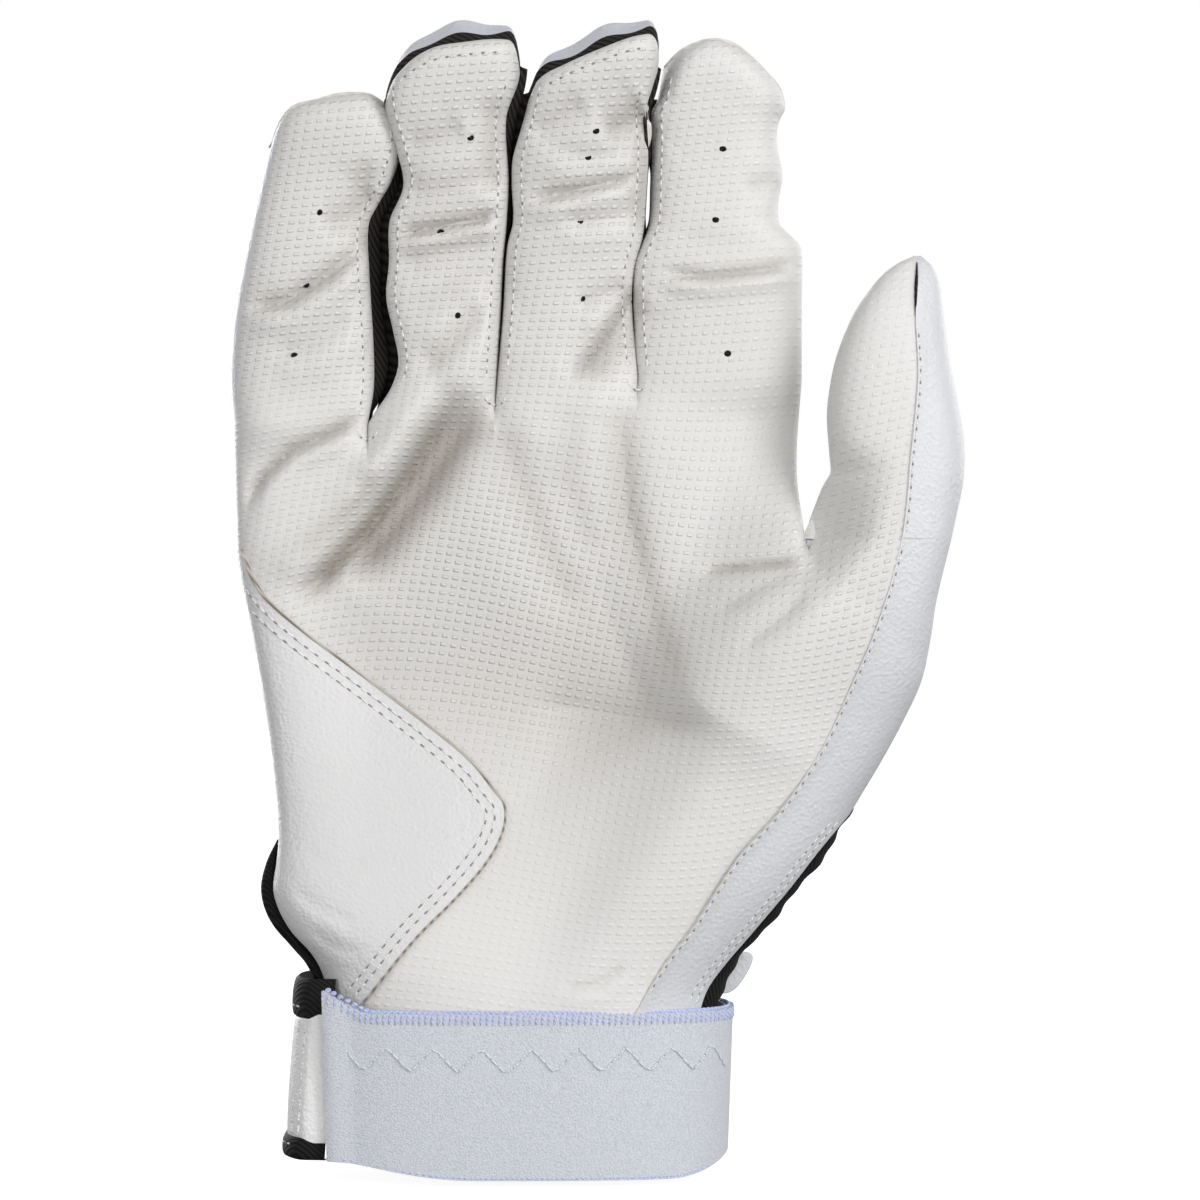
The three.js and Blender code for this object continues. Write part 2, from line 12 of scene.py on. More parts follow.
import bpy
import numpy as np
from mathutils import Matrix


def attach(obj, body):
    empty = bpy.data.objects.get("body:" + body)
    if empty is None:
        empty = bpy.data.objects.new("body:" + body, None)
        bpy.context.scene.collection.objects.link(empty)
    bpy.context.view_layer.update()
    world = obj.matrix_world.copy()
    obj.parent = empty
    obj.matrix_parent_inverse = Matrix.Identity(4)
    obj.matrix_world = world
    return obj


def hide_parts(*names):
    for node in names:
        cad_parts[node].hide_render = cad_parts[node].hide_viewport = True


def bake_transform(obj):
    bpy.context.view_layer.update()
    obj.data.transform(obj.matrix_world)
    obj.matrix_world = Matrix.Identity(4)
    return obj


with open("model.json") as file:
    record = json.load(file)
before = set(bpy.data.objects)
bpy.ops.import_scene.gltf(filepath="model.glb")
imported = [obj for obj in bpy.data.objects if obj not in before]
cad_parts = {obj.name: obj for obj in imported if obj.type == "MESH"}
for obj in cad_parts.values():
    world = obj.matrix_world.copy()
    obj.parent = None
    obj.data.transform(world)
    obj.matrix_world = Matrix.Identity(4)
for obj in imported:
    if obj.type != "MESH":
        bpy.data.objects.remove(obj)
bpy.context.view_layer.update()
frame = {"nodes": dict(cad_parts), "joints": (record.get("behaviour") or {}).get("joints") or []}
hinges = {joint["child"]: joint["pos_m"] for joint in frame["joints"]}
print("frame:", len(frame["nodes"]), "nodes,", len(hinges), "hinges")

# %% [markdown]
# The drawing and the frame differ by a small shift, because the frame's origin is the middle of the
# whole box. The hinge of the middle finger is a point that both know, so it gives the shift.

# %% Shift from the drawing to the frame
MM = 0.001
MIDDLE_HINGE = np.array([-6.0, -5.4, 159.0])
shift = np.array(hinges["middle_finger"]) / MM - MIDDLE_HINGE


def place(points):
    """Points of the drawing, in millimetres, as metres in the frame."""
    return (np.asarray(points, float) + shift) * MM


print("shift in mm:", np.round(shift, 2))

# %% [markdown]
# Every outline of the glove is a smooth curve through a few measured points, and every rounded section
# is a superellipse. These small functions work on whole arrays at once.


# %% Curves and sections
def curve(*pairs):
    """Cubic through (place, value) pairs. The slope at a point is that of the line between its neighbours."""
    at, value = np.array(pairs, float).T
    slope = np.diff(np.pad(value, 1, "edge"), n=1)
    slope = (slope[1:] + slope[:-1]) / np.convolve(np.diff(np.pad(at, 1, "edge")), [1, 1], "valid")

    def value_at(t):
        """The cubic of the step that holds t."""
        t = np.clip(t, at[0], at[-1])
        i = np.clip(np.searchsorted(at, t, side="right") - 1, 0, len(at) - 2)
        step = at[i + 1] - at[i]
        s = (t - at[i]) / step
        start = (1 + 2 * s) * (1 - s) ** 2 * value[i] + s * (1 - s) ** 2 * step * slope[i]
        return start + s * s * (3 - 2 * s) * value[i + 1] + s * s * (s - 1) * step * slope[i + 1]

    return value_at


def ease(t, a, b):
    """0 before a and 1 after b, with a smooth step between."""
    s = np.clip((t - a) / (b - a), 0, 1)
    return s * s * (3 - 2 * s)


def mix(a, b, share):
    """The value at a share of the way from a to b."""
    return a + (b - a) * share


def arch(t, power):
    """Height of a superellipse at t from its middle (0) to its end (1)."""
    return (1 - np.minimum(np.abs(t), 1) ** power) ** (1 / power)


def rounded(values, power):
    """Sine or cosine of a circle, pushed out towards the corners of a superellipse."""
    return np.sign(values) * np.abs(values) ** (2 / power)


def bell(x, z, middle, size):
    """A round patch that is 1 at its middle and fades as a bell curve, at a size across and a size up."""
    return np.exp(-(((x - middle[0]) / size[0]) ** 2) - ((z - middle[1]) / size[1]) ** 2)


def crowded(count):
    """Places from -1 to 1 that crowd towards both ends."""
    return np.sin(np.linspace(-math.pi / 2, math.pi / 2, count))


def to_end(count):
    """Shares from 0 to 1 that crowd towards 1."""
    return np.sin(np.linspace(0, math.pi / 2, count))


def from_start(count):
    """Shares from 0 to 1 that crowd towards 0."""
    return 1 - np.cos(np.linspace(0, math.pi / 2, count))


print("a superellipse of power 2.6 is", round(float(arch(0.5, 2.6)), 3), "high half way out")


# %% Points and lines
def xyz(x, y, z):
    """Three arrays, each as large as it needs to be, as one array of points."""
    return np.stack(np.broadcast_arrays(x, y, z), -1)


def unit(vectors):
    """Vectors brought to a length of 1."""
    return vectors / np.linalg.norm(vectors, axis=-1, keepdims=True)


def run_length(path):
    """Distance of each point of a line from its first point, along the line."""
    return np.r_[0, np.cumsum(np.linalg.norm(np.diff(path, axis=0), axis=1))]


def along(path, x, z):
    """Distance of each (x, z) from a line through points, its side, and the share of the way along it."""
    points = np.array(path, float)
    lengths = np.hypot(*np.diff(points, axis=0).T)
    done = np.r_[0, np.cumsum(lengths)] / lengths.sum()
    best = np.full(np.shape(x), np.inf)
    side = np.zeros(np.shape(x))
    share = np.zeros(np.shape(x))
    for i, (a, b) in enumerate(zip(points[:-1], points[1:])):
        run = (b - a) / lengths[i]
        on = np.clip((x - a[0]) * run[0] + (z - a[1]) * run[1], 0, lengths[i])
        off = np.hypot(x - a[0] - on * run[0], z - a[1] - on * run[1])
        nearer = off < best
        best = np.where(nearer, off, best)
        side = np.where(nearer, np.sign((x - a[0]) * run[1] - (z - a[1]) * run[0]), side)
        share = np.where(nearer, mix(done[i], done[i + 1], on / lengths[i]), share)
    return best, side, share


TO_FRONT = np.array([0.0, -1.0, 0.0])
TO_BACK = -TO_FRONT
TO_THUMB = np.array([1.0, 0.0, 0.0])
UP = np.array([0.0, 0.0, 1.0])
print("the palm looks along", TO_FRONT)

# %% [markdown]
# Leather and cloth are sheets with two faces and a rim. A sheet starts as a grid of points on its outer
# face. The inner face is the same grid moved in along the normals, and quads close the rim.
# A cell mask leaves out what the outline doesn't have. A Solidify modifier could do it too, but here the
# map, the marks and the material of the rim are set in the same step.


# %% Sheets
TINY = 1e-9


def grid_normals(points):
    """Unit normals of a grid of points, from the cross product of its two directions."""
    normal = np.cross(np.gradient(points, axis=1), np.gradient(points, axis=0))
    length = np.linalg.norm(normal, axis=-1, keepdims=True)
    return normal / np.maximum(length, TINY)


def new_piece(name, points, faces, materials, kinds=None, uv=None, marks=None, sharp=50):
    """A mesh from points in mm and faces. kinds gives each face its material, uv gives each point its map and
    marks give it named values. Edges that turn by more than sharp degrees stay sharp."""
    mesh = bpy.data.meshes.new(name)
    mesh.from_pydata(place(points), [], faces)
    for material in materials:
        mesh.materials.append(material)
    if kinds is not None:
        mesh.polygons.foreach_set("material_index", kinds.astype(np.int32))
    if uv is not None:
        corners = np.zeros(len(mesh.loops), np.int32)
        mesh.loops.foreach_get("vertex_index", corners)
        layer = mesh.uv_layers.new(name="lay")
        layer.data.foreach_set("uv", (uv[corners] * MM).astype(np.float32).ravel())
    for mark, values in (marks or {}).items():
        attribute = mesh.attributes.new(mark, "FLOAT", "POINT")
        attribute.data.foreach_set("value", np.asarray(values, np.float32).ravel())
    mesh.shade_smooth()
    if sharp is not None:
        mesh.set_sharp_from_angle(angle=math.radians(sharp))
    piece = bpy.data.objects.new(name, mesh)
    bpy.context.scene.collection.objects.link(piece)
    return piece


def sheet(
    name, outer, thickness, material, keep=None, edge=None, lay=None, marks=None, outward=None, normal=None,
):
    """A closed sheet: outer grid, inner grid at the thickness along the normals, and a rim between them.
    outward is a direction that the outer face looks to on the whole."""
    rows, columns = outer.shape[:2]
    count = rows * columns
    normal = grid_normals(outer) if normal is None else normal
    away = outer - outer.mean(axis=(0, 1)) if outward is None else np.asarray(outward, float)
    inside_out = (normal * away).sum() < 0
    if inside_out:
        normal = -normal
    inner = outer - normal * thickness
    keep = np.ones((rows - 1, columns - 1), bool) if keep is None else keep
    at = np.arange(count).reshape(rows, columns)
    cell = np.stack([at[:-1, :-1], at[:-1, 1:], at[1:, 1:], at[1:, :-1]], -1)[keep]
    kept = np.pad(keep, 1)
    rim = []
    for beyond, first, second in (
        (kept[:-2, 1:-1], at[:-1, :-1], at[:-1, 1:]),
        (kept[2:, 1:-1], at[1:, 1:], at[1:, :-1]),
        (kept[1:-1, :-2], at[1:, :-1], at[:-1, :-1]),
        (kept[1:-1, 2:], at[:-1, 1:], at[1:, 1:]),
    ):
        open_side = keep & ~beyond
        a, b = first[open_side], second[open_side]
        rim.append(np.stack([b, a, a + count, b + count], -1))
    rim = np.concatenate(rim)
    faces = np.concatenate([cell, cell[:, ::-1] + count, rim])
    if inside_out:
        faces = faces[:, ::-1]
    kinds = np.r_[np.zeros(2 * len(cell)), np.full(len(rim), 0 if edge is None else 1)]
    points = np.concatenate([outer.reshape(-1, 3), inner.reshape(-1, 3)])
    used = np.unique(faces)
    renumber = np.zeros(len(points), int)
    renumber[used] = np.arange(len(used))

    def both_faces(values):
        """Values of the outer grid's points, once for each face."""
        return np.tile(np.asarray(values, float).reshape(count, -1), (2, 1))[used]

    uv = None if lay is None else both_faces(lay)
    marks = {mark: both_faces(values) for mark, values in (marks or {}).items()}
    materials = [material] if edge is None else [material, edge]
    return new_piece(name, points[used], renumber[faces].tolist(), materials, kinds, uv, marks)


flat = xyz(np.arange(3.0)[None], 0.0, np.arange(3.0)[:, None])
print("a flat grid of x and z looks along", grid_normals(flat)[0, 0])

# %% [markdown]
# A cut edge or a binding is a tube along a line. A row of stitches, holes or loops is one small ball many
# times, stretched along the thread, and numpy makes all the copies in one step.


# %% Tubes and rows of beads
def tube(name, centres, out, side, wide, deep, material, around=14, power=2.0):
    """A closed tube along centres; its section is a superellipse, wide along side and deep along out."""
    count = len(centres)
    angle = np.linspace(0, 2 * math.pi, around, endpoint=False)
    across = np.multiply.outer(np.broadcast_to(wide, count), rounded(np.cos(angle), power))[..., None]
    away = np.multiply.outer(np.broadcast_to(deep, count), rounded(np.sin(angle), power))[..., None]
    out = np.broadcast_to(out, centres.shape)[:, None]
    side = np.broadcast_to(side, centres.shape)[:, None]
    rings = centres[:, None] + (side * across + out * away)
    points = np.concatenate([rings.reshape(-1, 3), centres[[0, -1]]])
    at = np.arange(count * around).reshape(count, around)
    turned = np.roll(at, -1, axis=1)
    quads = np.stack([at[:-1], turned[:-1], turned[1:], at[1:]], -1).reshape(-1, 4)
    middle = np.full(around, count * around)
    low = np.stack([turned[0], at[0], middle], -1)
    high = np.stack([at[-1], turned[-1], middle + 1], -1)
    return new_piece(name, points, quads.tolist() + low.tolist() + high.tolist(), [material], sharp=80)


def bead(rings=4, around=7):
    """A unit ball as points, quads and triangles: rings of points between two poles on the x axis."""
    tilt = np.linspace(0, math.pi, rings + 1)[1:-1]
    turn = np.linspace(0, 2 * math.pi, around, endpoint=False)
    t, a = np.meshgrid(tilt, turn, indexing="ij")
    body = xyz(np.cos(t), np.sin(t) * np.cos(a), np.sin(t) * np.sin(a)).reshape(-1, 3)
    points = np.concatenate([[TO_THUMB], body, [-TO_THUMB]])
    at = 1 + np.arange((rings - 1) * around).reshape(rings - 1, around)
    turned = np.roll(at, -1, axis=1)
    middle = np.stack([at[:-1], at[1:], turned[1:], turned[:-1]], -1).reshape(-1, 4)
    pole = np.zeros(around, int)
    top = np.stack([pole, at[0], turned[0]], -1)
    bottom = np.stack([pole + len(points) - 1, turned[-1], at[-1]], -1)
    return points, middle, np.concatenate([top, bottom])


def beads(name, centres, run, out, size, material):
    """Balls stretched along run, across and out by the three sizes, one at each centre, as one mesh."""
    points, quads, triangles = bead()
    run = unit(np.broadcast_to(run, centres.shape))
    out = unit(out - run * (out * run).sum(-1, keepdims=True))
    axes = np.stack([run, np.cross(out, run), out], 1) * np.array(size, float)[None, :, None]
    every = centres[:, None] + np.einsum("pk,nkc->npc", points, axes)
    step = (np.arange(len(centres)) * len(points))[:, None, None]
    faces = (quads + step).reshape(-1, 4).tolist() + (triangles + step).reshape(-1, 3).tolist()
    return new_piece(name, every.reshape(-1, 3), faces, [material], sharp=None)


def stitched(path, pitch):
    """Middles, directions and ends of stitches laid end to end at a pitch along a line of points."""
    length = run_length(path)
    count = max(2, int(length[-1] / pitch))
    at = np.linspace(0, length[-1], count + 1)
    ends = np.stack([np.interp(at, length, path[:, axis]) for axis in range(3)], -1)
    return (ends[1:] + ends[:-1]) / 2, ends[1:] - ends[:-1], ends


print("a bead has", len(bead()[0]), "points")

# %% [markdown]
# Materials are built from nodes. One function adds a node, sets it and links it, and one turns the
# sRGB colour that the eye reads into the linear colour that the shader needs. Every finish here starts
# with the same shader and ends with a mix of two colours and a bump.


# %% Node and colour helpers
def linear(code):
    """An sRGB hex colour as linear red, green, blue and alpha."""
    parts = np.array([int(code[i:i + 2], 16) for i in (1, 3, 5)]) / 255
    parts = np.where(parts <= 0.04045, parts / 12.92, ((parts + 0.055) / 1.055) ** 2.4)
    return (*parts.tolist(), 1.0)


def add_node(tree, kind, inputs=None, **settings):
    """A node of one kind with its settings; an input is a value or the socket that feeds it."""
    node = tree.nodes.new(kind)
    for key, value in settings.items():
        setattr(node, key, value)
    for key, value in (inputs or {}).items():
        if isinstance(value, bpy.types.NodeSocket):
            tree.links.new(value, node.inputs[key])
        else:
            node.inputs[key].default_value = value
    return node


def per(size):
    """Scale of a texture whose pattern repeats about every size millimetres."""
    return 1 / (size * MM)


def start_material(name, roughness, sheen=0.0, ior=1.5):
    """A material with a plain shader on its output, and the tree and shader to build on."""
    material = bpy.data.materials.new(name)
    material.use_nodes = True
    tree = material.node_tree
    shader = tree.nodes["Principled BSDF"]
    shader.inputs["Roughness"].default_value = roughness
    shader.inputs["Sheen Weight"].default_value = sheen
    shader.inputs["IOR"].default_value = ior
    return material, tree, shader


def end_material(tree, shader, share, first, second, height, depth, strength):
    """Colours the shader between two colours by a share, and bumps it by a height that is depth mm deep."""
    colour = add_node(tree, "ShaderNodeMix", {"Factor": share, "A": first, "B": second}, data_type="RGBA")
    bump = add_node(tree, "ShaderNodeBump", {"Height": height, "Distance": depth * MM, "Strength": strength})
    tree.links.new(colour.outputs["Result"], shader.inputs["Base Color"])
    tree.links.new(bump.outputs["Normal"], shader.inputs["Normal"])


print("mid grey in linear light:", np.round(linear("#808080")[0], 3))

# %% [markdown]
# The palm is goatskin pressed with rows of small raised bricks, about 1.1 by 0.55 mm. The bricks follow the
# leather, so they are drawn on the sheet's own map, in metres. A mark on each point says how much of the
# pressing is left: it is worn flat where the leather is stretched. Where it is left, painted shade greys the
# ground between the bricks. Another mark holds painted shade in the hollow, and painted shade with some
# grime in the folds. To the eye that is a chalky white with a dull sheen, where each brick has one lit and
# one dark edge.

# %% Palm leather
BRICK = (1.1, 0.55)
BRICK_PITCH = (2.05, 1.65)
BRICK_EDGE = 0.3  # softer than the real edge, so that it shows at this size
PALM_GRAIN = 0.5  # coarser than the real pores, so that they show
GRAIN_HEIGHT = 0.25
PALM_CLOUD = 30.0
# Share of painted shade on the ground between the bricks, where the pressing is left.
BRICK_GAP_SHADE = 0.15
PALM_LIGHT = "#DEDDDC"
PALM_WARM = "#D8D6D3"
# The grey of the palm's painted shade: between the bricks, in the hollow, and in the folds with some grime.
PALM_SHADE_GREY = "#8C8378"


def palm_leather():
    """Pressed goatskin: bricks from the map and grain as one height; painted shade between bricks and in the
    hollow, painted shade with some grime in folds.
    """
    material, tree, shader = start_material("pressed goatskin", roughness=0.52, sheen=0.05)
    lay = add_node(tree, "ShaderNodeUVMap", uv_map="lay")
    parts = add_node(tree, "ShaderNodeSeparateXYZ", {"Vector": lay.outputs["UV"]})
    sides = []
    for axis, size, pitch in zip("XY", BRICK, BRICK_PITCH):
        off = parts.outputs[axis]
        steps = (("MULTIPLY", per(pitch)), ("FRACT", 0), ("SUBTRACT", 0.5), ("ABSOLUTE", 0))
        for operation, number in steps:
            off = add_node(tree, "ShaderNodeMath", {0: off, 1: number}, operation=operation).outputs[0]
        edge = size / 2 / pitch
        soft = BRICK_EDGE / 2 / pitch
        side = add_node(
            tree, "ShaderNodeMapRange", {"Value": off, "From Min": edge + soft, "From Max": edge - soft},
            interpolation_type="SMOOTHSTEP",
        )
        sides.append(side.outputs["Result"])
    left = add_node(tree, "ShaderNodeAttribute", attribute_name="pressed").outputs["Fac"]
    # The fold mark: painted shade in the hollow, and painted shade with some grime along the folds.
    fold = add_node(tree, "ShaderNodeAttribute", attribute_name="fold").outputs["Fac"]
    brick = add_node(tree, "ShaderNodeMath", {0: sides[0], 1: sides[1]}, operation="MULTIPLY").outputs[0]
    pressed = add_node(tree, "ShaderNodeMath", {0: brick, 1: left}, operation="MULTIPLY").outputs[0]
    spot = add_node(tree, "ShaderNodeTexCoord").outputs["Object"]
    grain = add_node(tree, "ShaderNodeTexNoise", {"Vector": spot, "Scale": per(PALM_GRAIN), "Detail": 3.0})
    height = add_node(
        tree, "ShaderNodeMath", {0: grain.outputs["Fac"], 1: GRAIN_HEIGHT, 2: pressed},
        operation="MULTIPLY_ADD",
    )
    cloud = add_node(tree, "ShaderNodeTexNoise", {"Vector": spot, "Scale": per(PALM_CLOUD), "Detail": 4.0})
    body = add_node(
        tree, "ShaderNodeMix",
        {"Factor": cloud.outputs["Fac"], "A": linear(PALM_LIGHT), "B": linear(PALM_WARM)}, data_type="RGBA",
    )
    # Painted shade on the ground between the bricks, with the fold mark's painted shade added.
    ground = add_node(tree, "ShaderNodeMath", {0: left, 1: pressed}, operation="SUBTRACT")
    grey = add_node(
        tree, "ShaderNodeMath", {0: ground.outputs[0], 1: BRICK_GAP_SHADE, 2: fold}, operation="MULTIPLY_ADD",
    )
    end_material(
        tree, shader, grey.outputs[0], body.outputs["Result"], linear(PALM_SHADE_GREY),
        height.outputs[0], depth=0.3, strength=0.9,
    )
    return material


palm_skin = palm_leather()
print("material:", palm_skin.name)

# %% [markdown]
# The heel patch, the thumb strip, the back and the tab are smooth sheepskin, tanned white, with a fine
# pebbled grain that shows only where light grazes it. The strip and the back are cool whites, and the back is
# greyed a little as painted shade. The heel patch is nearer to the palm's own white, and the tab is the
# brightest piece.

# %% Smooth leather
PEBBLE = 0.8
FINE_CREASE = 2.2
SKIN_CLOUD = 25.0


def smooth_leather(name, light, shade):
    """Smooth sheepskin: pebbles and fine creases as one height, and two close whites in clouds."""
    material, tree, shader = start_material(name, roughness=0.45, sheen=0.05)
    spot = add_node(tree, "ShaderNodeTexCoord").outputs["Object"]
    grain = add_node(tree, "ShaderNodeTexVoronoi", {"Vector": spot, "Scale": per(PEBBLE)})
    crease = add_node(tree, "ShaderNodeTexNoise", {"Vector": spot, "Scale": per(FINE_CREASE), "Detail": 5.0})
    height = add_node(
        tree, "ShaderNodeMath", {0: grain.outputs["Distance"], 1: crease.outputs["Fac"]}, operation="ADD",
    )
    cloud = add_node(tree, "ShaderNodeTexNoise", {"Vector": spot, "Scale": per(SKIN_CLOUD), "Detail": 3.0})
    end_material(
        tree, shader, cloud.outputs["Fac"], linear(light), linear(shade),
        height.outputs[0], depth=0.2, strength=0.7,
    )
    return material


# Cool white with a soft shine, on the outside of the thumb, the strap and the pull tab.
smooth_skin = smooth_leather("smooth sheepskin", "#D4D5D8", "#CCCDD1")
# A neutral white next to the palm's warmer one, so that the patch reads as a second hide.
patch_skin = smooth_leather("heel patch sheepskin", "#D9D8D8", "#D1D0D0")
# The brightest white: new leather that hands don't touch.
tab_skin = smooth_leather("white tab leather", "#F0EFEE", "#E4E3E3")
# The bluest white, greyed a little as painted shade on the backs of the hand and fingers; it shows as a thin
# rim at the fingertips.
shaded_back_skin = smooth_leather("back sheepskin with painted shade", "#CED1D8", "#C5C8D0")
print("smooth leathers:", smooth_skin.name, patch_skin.name, tab_skin.name, shaded_back_skin.name, sep=", ")

# %% [markdown]
# Thread, knit, tape and cut edges all show lines: the twist of a yarn, the ribs of a knit, the layers of a
# hide. One function draws them as bands at a pitch in millimetres, and each finish has its own pitch and
# colours. Yarn that is thinner than a pixel is drawn a little wider, so that its twist shows.

# %% Thread, knit and edges
WAVE_TURN = 0.314  # length of one band of the wave texture at a scale of 1


def twisted(name, light, dark, pitch, roughness, sheen=0.15, ior=1.5):
    """Cloth, thread or a cut edge whose yarns show as fine bands, one about every pitch millimetres."""
    material, tree, shader = start_material(name, roughness, sheen, ior)
    spot = add_node(tree, "ShaderNodeTexCoord").outputs["Object"]
    bands = add_node(
        tree, "ShaderNodeTexWave",
        {"Vector": spot, "Scale": WAVE_TURN * per(pitch), "Distortion": 1.5, "Detail": 2.0},
        bands_direction="DIAGONAL",
    ).outputs["Fac"]
    end_material(tree, shader, bands, linear(dark), linear(light), bands, depth=0.15, strength=0.6)
    return material


# Bright twisted polyester, each stitch a small white grain.
white_thread = twisted("white polyester thread", "#F2F2F2", "#D2D2D4", 0.4, 0.5)
lilac_white = twisted("pale cuff thread", "#EDEFF6", "#C9CFDF", 0.5, 0.6)
# Soft lilac yarn that stands out on the cuff's edges.
lilac_thread = twisted("lilac overlock thread", "#CAD2F2", "#A3AED8", 0.5, 0.55)
# Matt black cloth: it swallows light, so it has no sheen and a low IOR. Ribs show faintly.
MATT = dict(sheen=0.0, ior=1.2)
black_knit = twisted("black ribbed knit", "#262425", "#0C0C0D", 0.9, 0.85, **MATT)
side_knit = twisted("black side knit", "#35312F", "#171514", 0.9, 0.9, **MATT)
black_tape = twisted("black woven binding", "#202022", "#0B0B0C", 0.6, 0.7, **MATT)
# A needle hole is a dimple, drawn as a flat grey bead of painted shade. A cut edge shows the brown-grey
# inside of the hide, or a pale one.
needle_dark = twisted("shadowed needle hole", "#A09C98", "#85817D", 0.5, 0.9)
raw_edge = twisted("raw leather edge", "#BDB6AB", "#7D766C", 1.5, 0.85)
pale_edge = twisted("pale cut edge", "#D8D5CF", "#CBC7C0", 1.5, 0.85)
# Moulded nylon hooks, a dark field with fine rows.
hook_tape = twisted("hook tape", "#2C2C2E", "#101012", 1.2, 0.6)
print("materials so far:", len(bpy.data.materials))

# %% [markdown]
# The cuff is woven elastic whose face is brushed into loops. The eye sees a soft bluish-white fuzz with no
# shine. Real curls are finer than the ones drawn here, which are as coarse as they need to be to show.

# %% Loop elastic
CURL = 0.34
FUZZ = 0.36
PILE_RANGE = (-0.25, 0.45)
PILE_SHADE = "#C5C8D1"
PILE_LIGHT = "#DCDFE5"


def elastic_loop():
    """Brushed loop elastic: a pile of tiny curls, lighter where they catch the light."""
    material, tree, shader = start_material("brushed loop elastic", roughness=0.9, sheen=0.3)
    spot = add_node(tree, "ShaderNodeTexCoord").outputs["Object"]
    curls = add_node(tree, "ShaderNodeTexVoronoi", {"Vector": spot, "Scale": per(CURL)})
    fuzz = add_node(tree, "ShaderNodeTexNoise", {"Vector": spot, "Scale": per(FUZZ), "Detail": 4.0})
    pile = add_node(
        tree, "ShaderNodeMath", {0: fuzz.outputs["Fac"], 1: curls.outputs["Distance"]}, operation="SUBTRACT",
    ).outputs[0]
    share = add_node(
        tree, "ShaderNodeMapRange", {"Value": pile, "From Min": PILE_RANGE[0], "From Max": PILE_RANGE[1]},
    )
    end_material(
        tree, shader, share.outputs["Result"], linear(PILE_SHADE), linear(PILE_LIGHT),
        pile, depth=0.3, strength=0.5,
    )
    return material


loop_pile = elastic_loop()
print("material:", loop_pile.name)

# %% [markdown]
# ## The hand
# Seen from the front, the hand is a band between a left and a right edge, measured by height. Four finger
# bases stand on it between five slits, and the thumb leaves it at the crotch.

# %% Outline of the hand
CUFF_HEIGHT = 33.4
WRIST_Z = 29.4
CROTCH_Z = 126.4
CROTCH_X = 41.0
SLITS = np.array([-73.2, -46.0, -20.4, 8.0, 41.0])
SLIT_HEIGHTS = np.array([150.5, 149.8, 156.6, 159.6, 158.5])
SLIT_NUMBERS = np.arange(len(SLITS))
BASE_FLOOR = (0.014, 0.5, 0.5, 0.5, 0.014)
left_edge = curve(
    (WRIST_Z, -53), (34, -53.6), (40, -55), (44, -57.2), (48.4, -61.2), (53, -63.8), (57, -64.8), (62, -64.2),
    (67, -63.8), (75, -64.2), (90.4, -66.2), (106.4, -69), (122.4, -72.1), (131, -72.6), (150.5, -73.2),
)
thumb_edge = curve(
    (WRIST_Z, 24.3), (33.7, 24.5), (38, 25.4), (42.4, 28), (50.4, 34.6), (58.4, 41.2), (66.4, 47),
    (74.4, 51.5), (82.4, 56.2), (90.4, 60.4), (98.4, 63.9), (106.4, 65.5), (114.4, 66.6), (CROTCH_Z, 69.4),
)
index_edge = curve((CROTCH_Z, CROTCH_X), (140, 39.8), (158.5, 41))
web_line = curve((WRIST_Z, -8), (80, 12), (CROTCH_Z, CROTCH_X))
thumb_seam = curve(
    (WRIST_Z, 5), (42, 12.4), (50, 18.4), (64, 27.4), (73, 35.4), (85, 43.4), (98, 49.4), (110, 54.4),
    (CROTCH_Z, 59), (143, 60.8), (158, 62.2), (170, 61.8), (182, 62.4),
)
print("hand width under the fingers in mm:", SLITS[-1] - SLITS[0])

# %% [markdown]
# The two faces of the hand stand off a middle surface: a broad lobe for the palm and a second lobe for the
# ball of the thumb. The middle surface itself leans forward from the palm to the thumb.

# %% Depth of the hand
KNUCKLE_Y = 6.0
KNUCKLE_DEPTH = 11.0
WEB_LOW = 98.0
palm_middle = curve((WRIST_Z, 0), (60, 1), (100, 4), (150, KNUCKLE_Y))
thumb_middle = curve((WRIST_Z, 0), (60, -1), (90, -5.5), (112, -11.8), (CROTCH_Z, -14))
palm_depth = {
    -1: curve((WRIST_Z, 19.1), (33.7, 19.1), (60, 17), (95, 14), (150, KNUCKLE_DEPTH)),
    1: curve((WRIST_Z, 19.1), (33.7, 19.1), (60, 17), (95, 15), (150, KNUCKLE_DEPTH)),
}
thumb_depth = {
    -1: curve((WRIST_Z, 15.1), (33.7, 15.1), (60, 19), (95, 17), (CROTCH_Z, 12.3)),
    1: curve((WRIST_Z, 15.1), (33.7, 15.1), (60, 14), (95, 12), (CROTCH_Z, 12.3)),
}
lobe_left = curve((WRIST_Z, -34), (70, -14), (100, 10), (CROTCH_Z, CROTCH_X))
hand_power = curve((WRIST_Z, 2.6), (CUFF_HEIGHT, 2.6), (60, 3.3), (150, 3.3))
LOBE_JOIN = 4
# The lean begins and ends across the web at these lines, and fades above the crotch.
web_from = curve((WRIST_Z, -44), (70, -20), (98, 0), (CROTCH_Z, 18), (152, 24))
web_to = curve((WRIST_Z, -8), (70, 10), (98, 26), (112, 38), (CROTCH_Z, 52), (152, 60))
WEB_FADE = (152.0, CROTCH_Z)
# The back leans later, and its palm lobe ends softly before the thumb.
back_from = curve((WRIST_Z, -60), (70, -14), (100, 14), (CROTCH_Z, 20), (152, 20))
back_to = curve((WRIST_Z, -30), (70, 20), (100, 40), (CROTCH_Z, 39.5), (152, 39.5))
BACK_REACH = (48.0, 5.0)
BACK_EASE = 14.0
BALL_HEIGHTS = (45.0, 75.0)
# Each finger's base is a superellipse that takes over in the last millimetres below the slits.
FINGER_POWER = 2.6
BASE_FADE = 9.0
NEAR = 1e-6


def base_profile(u, floor):
    """How far a finger's base stands off, by its place across (-1 to 1): at a slit not less than a floor."""
    return floor + (1 - floor) * arch(u, FINGER_POWER)


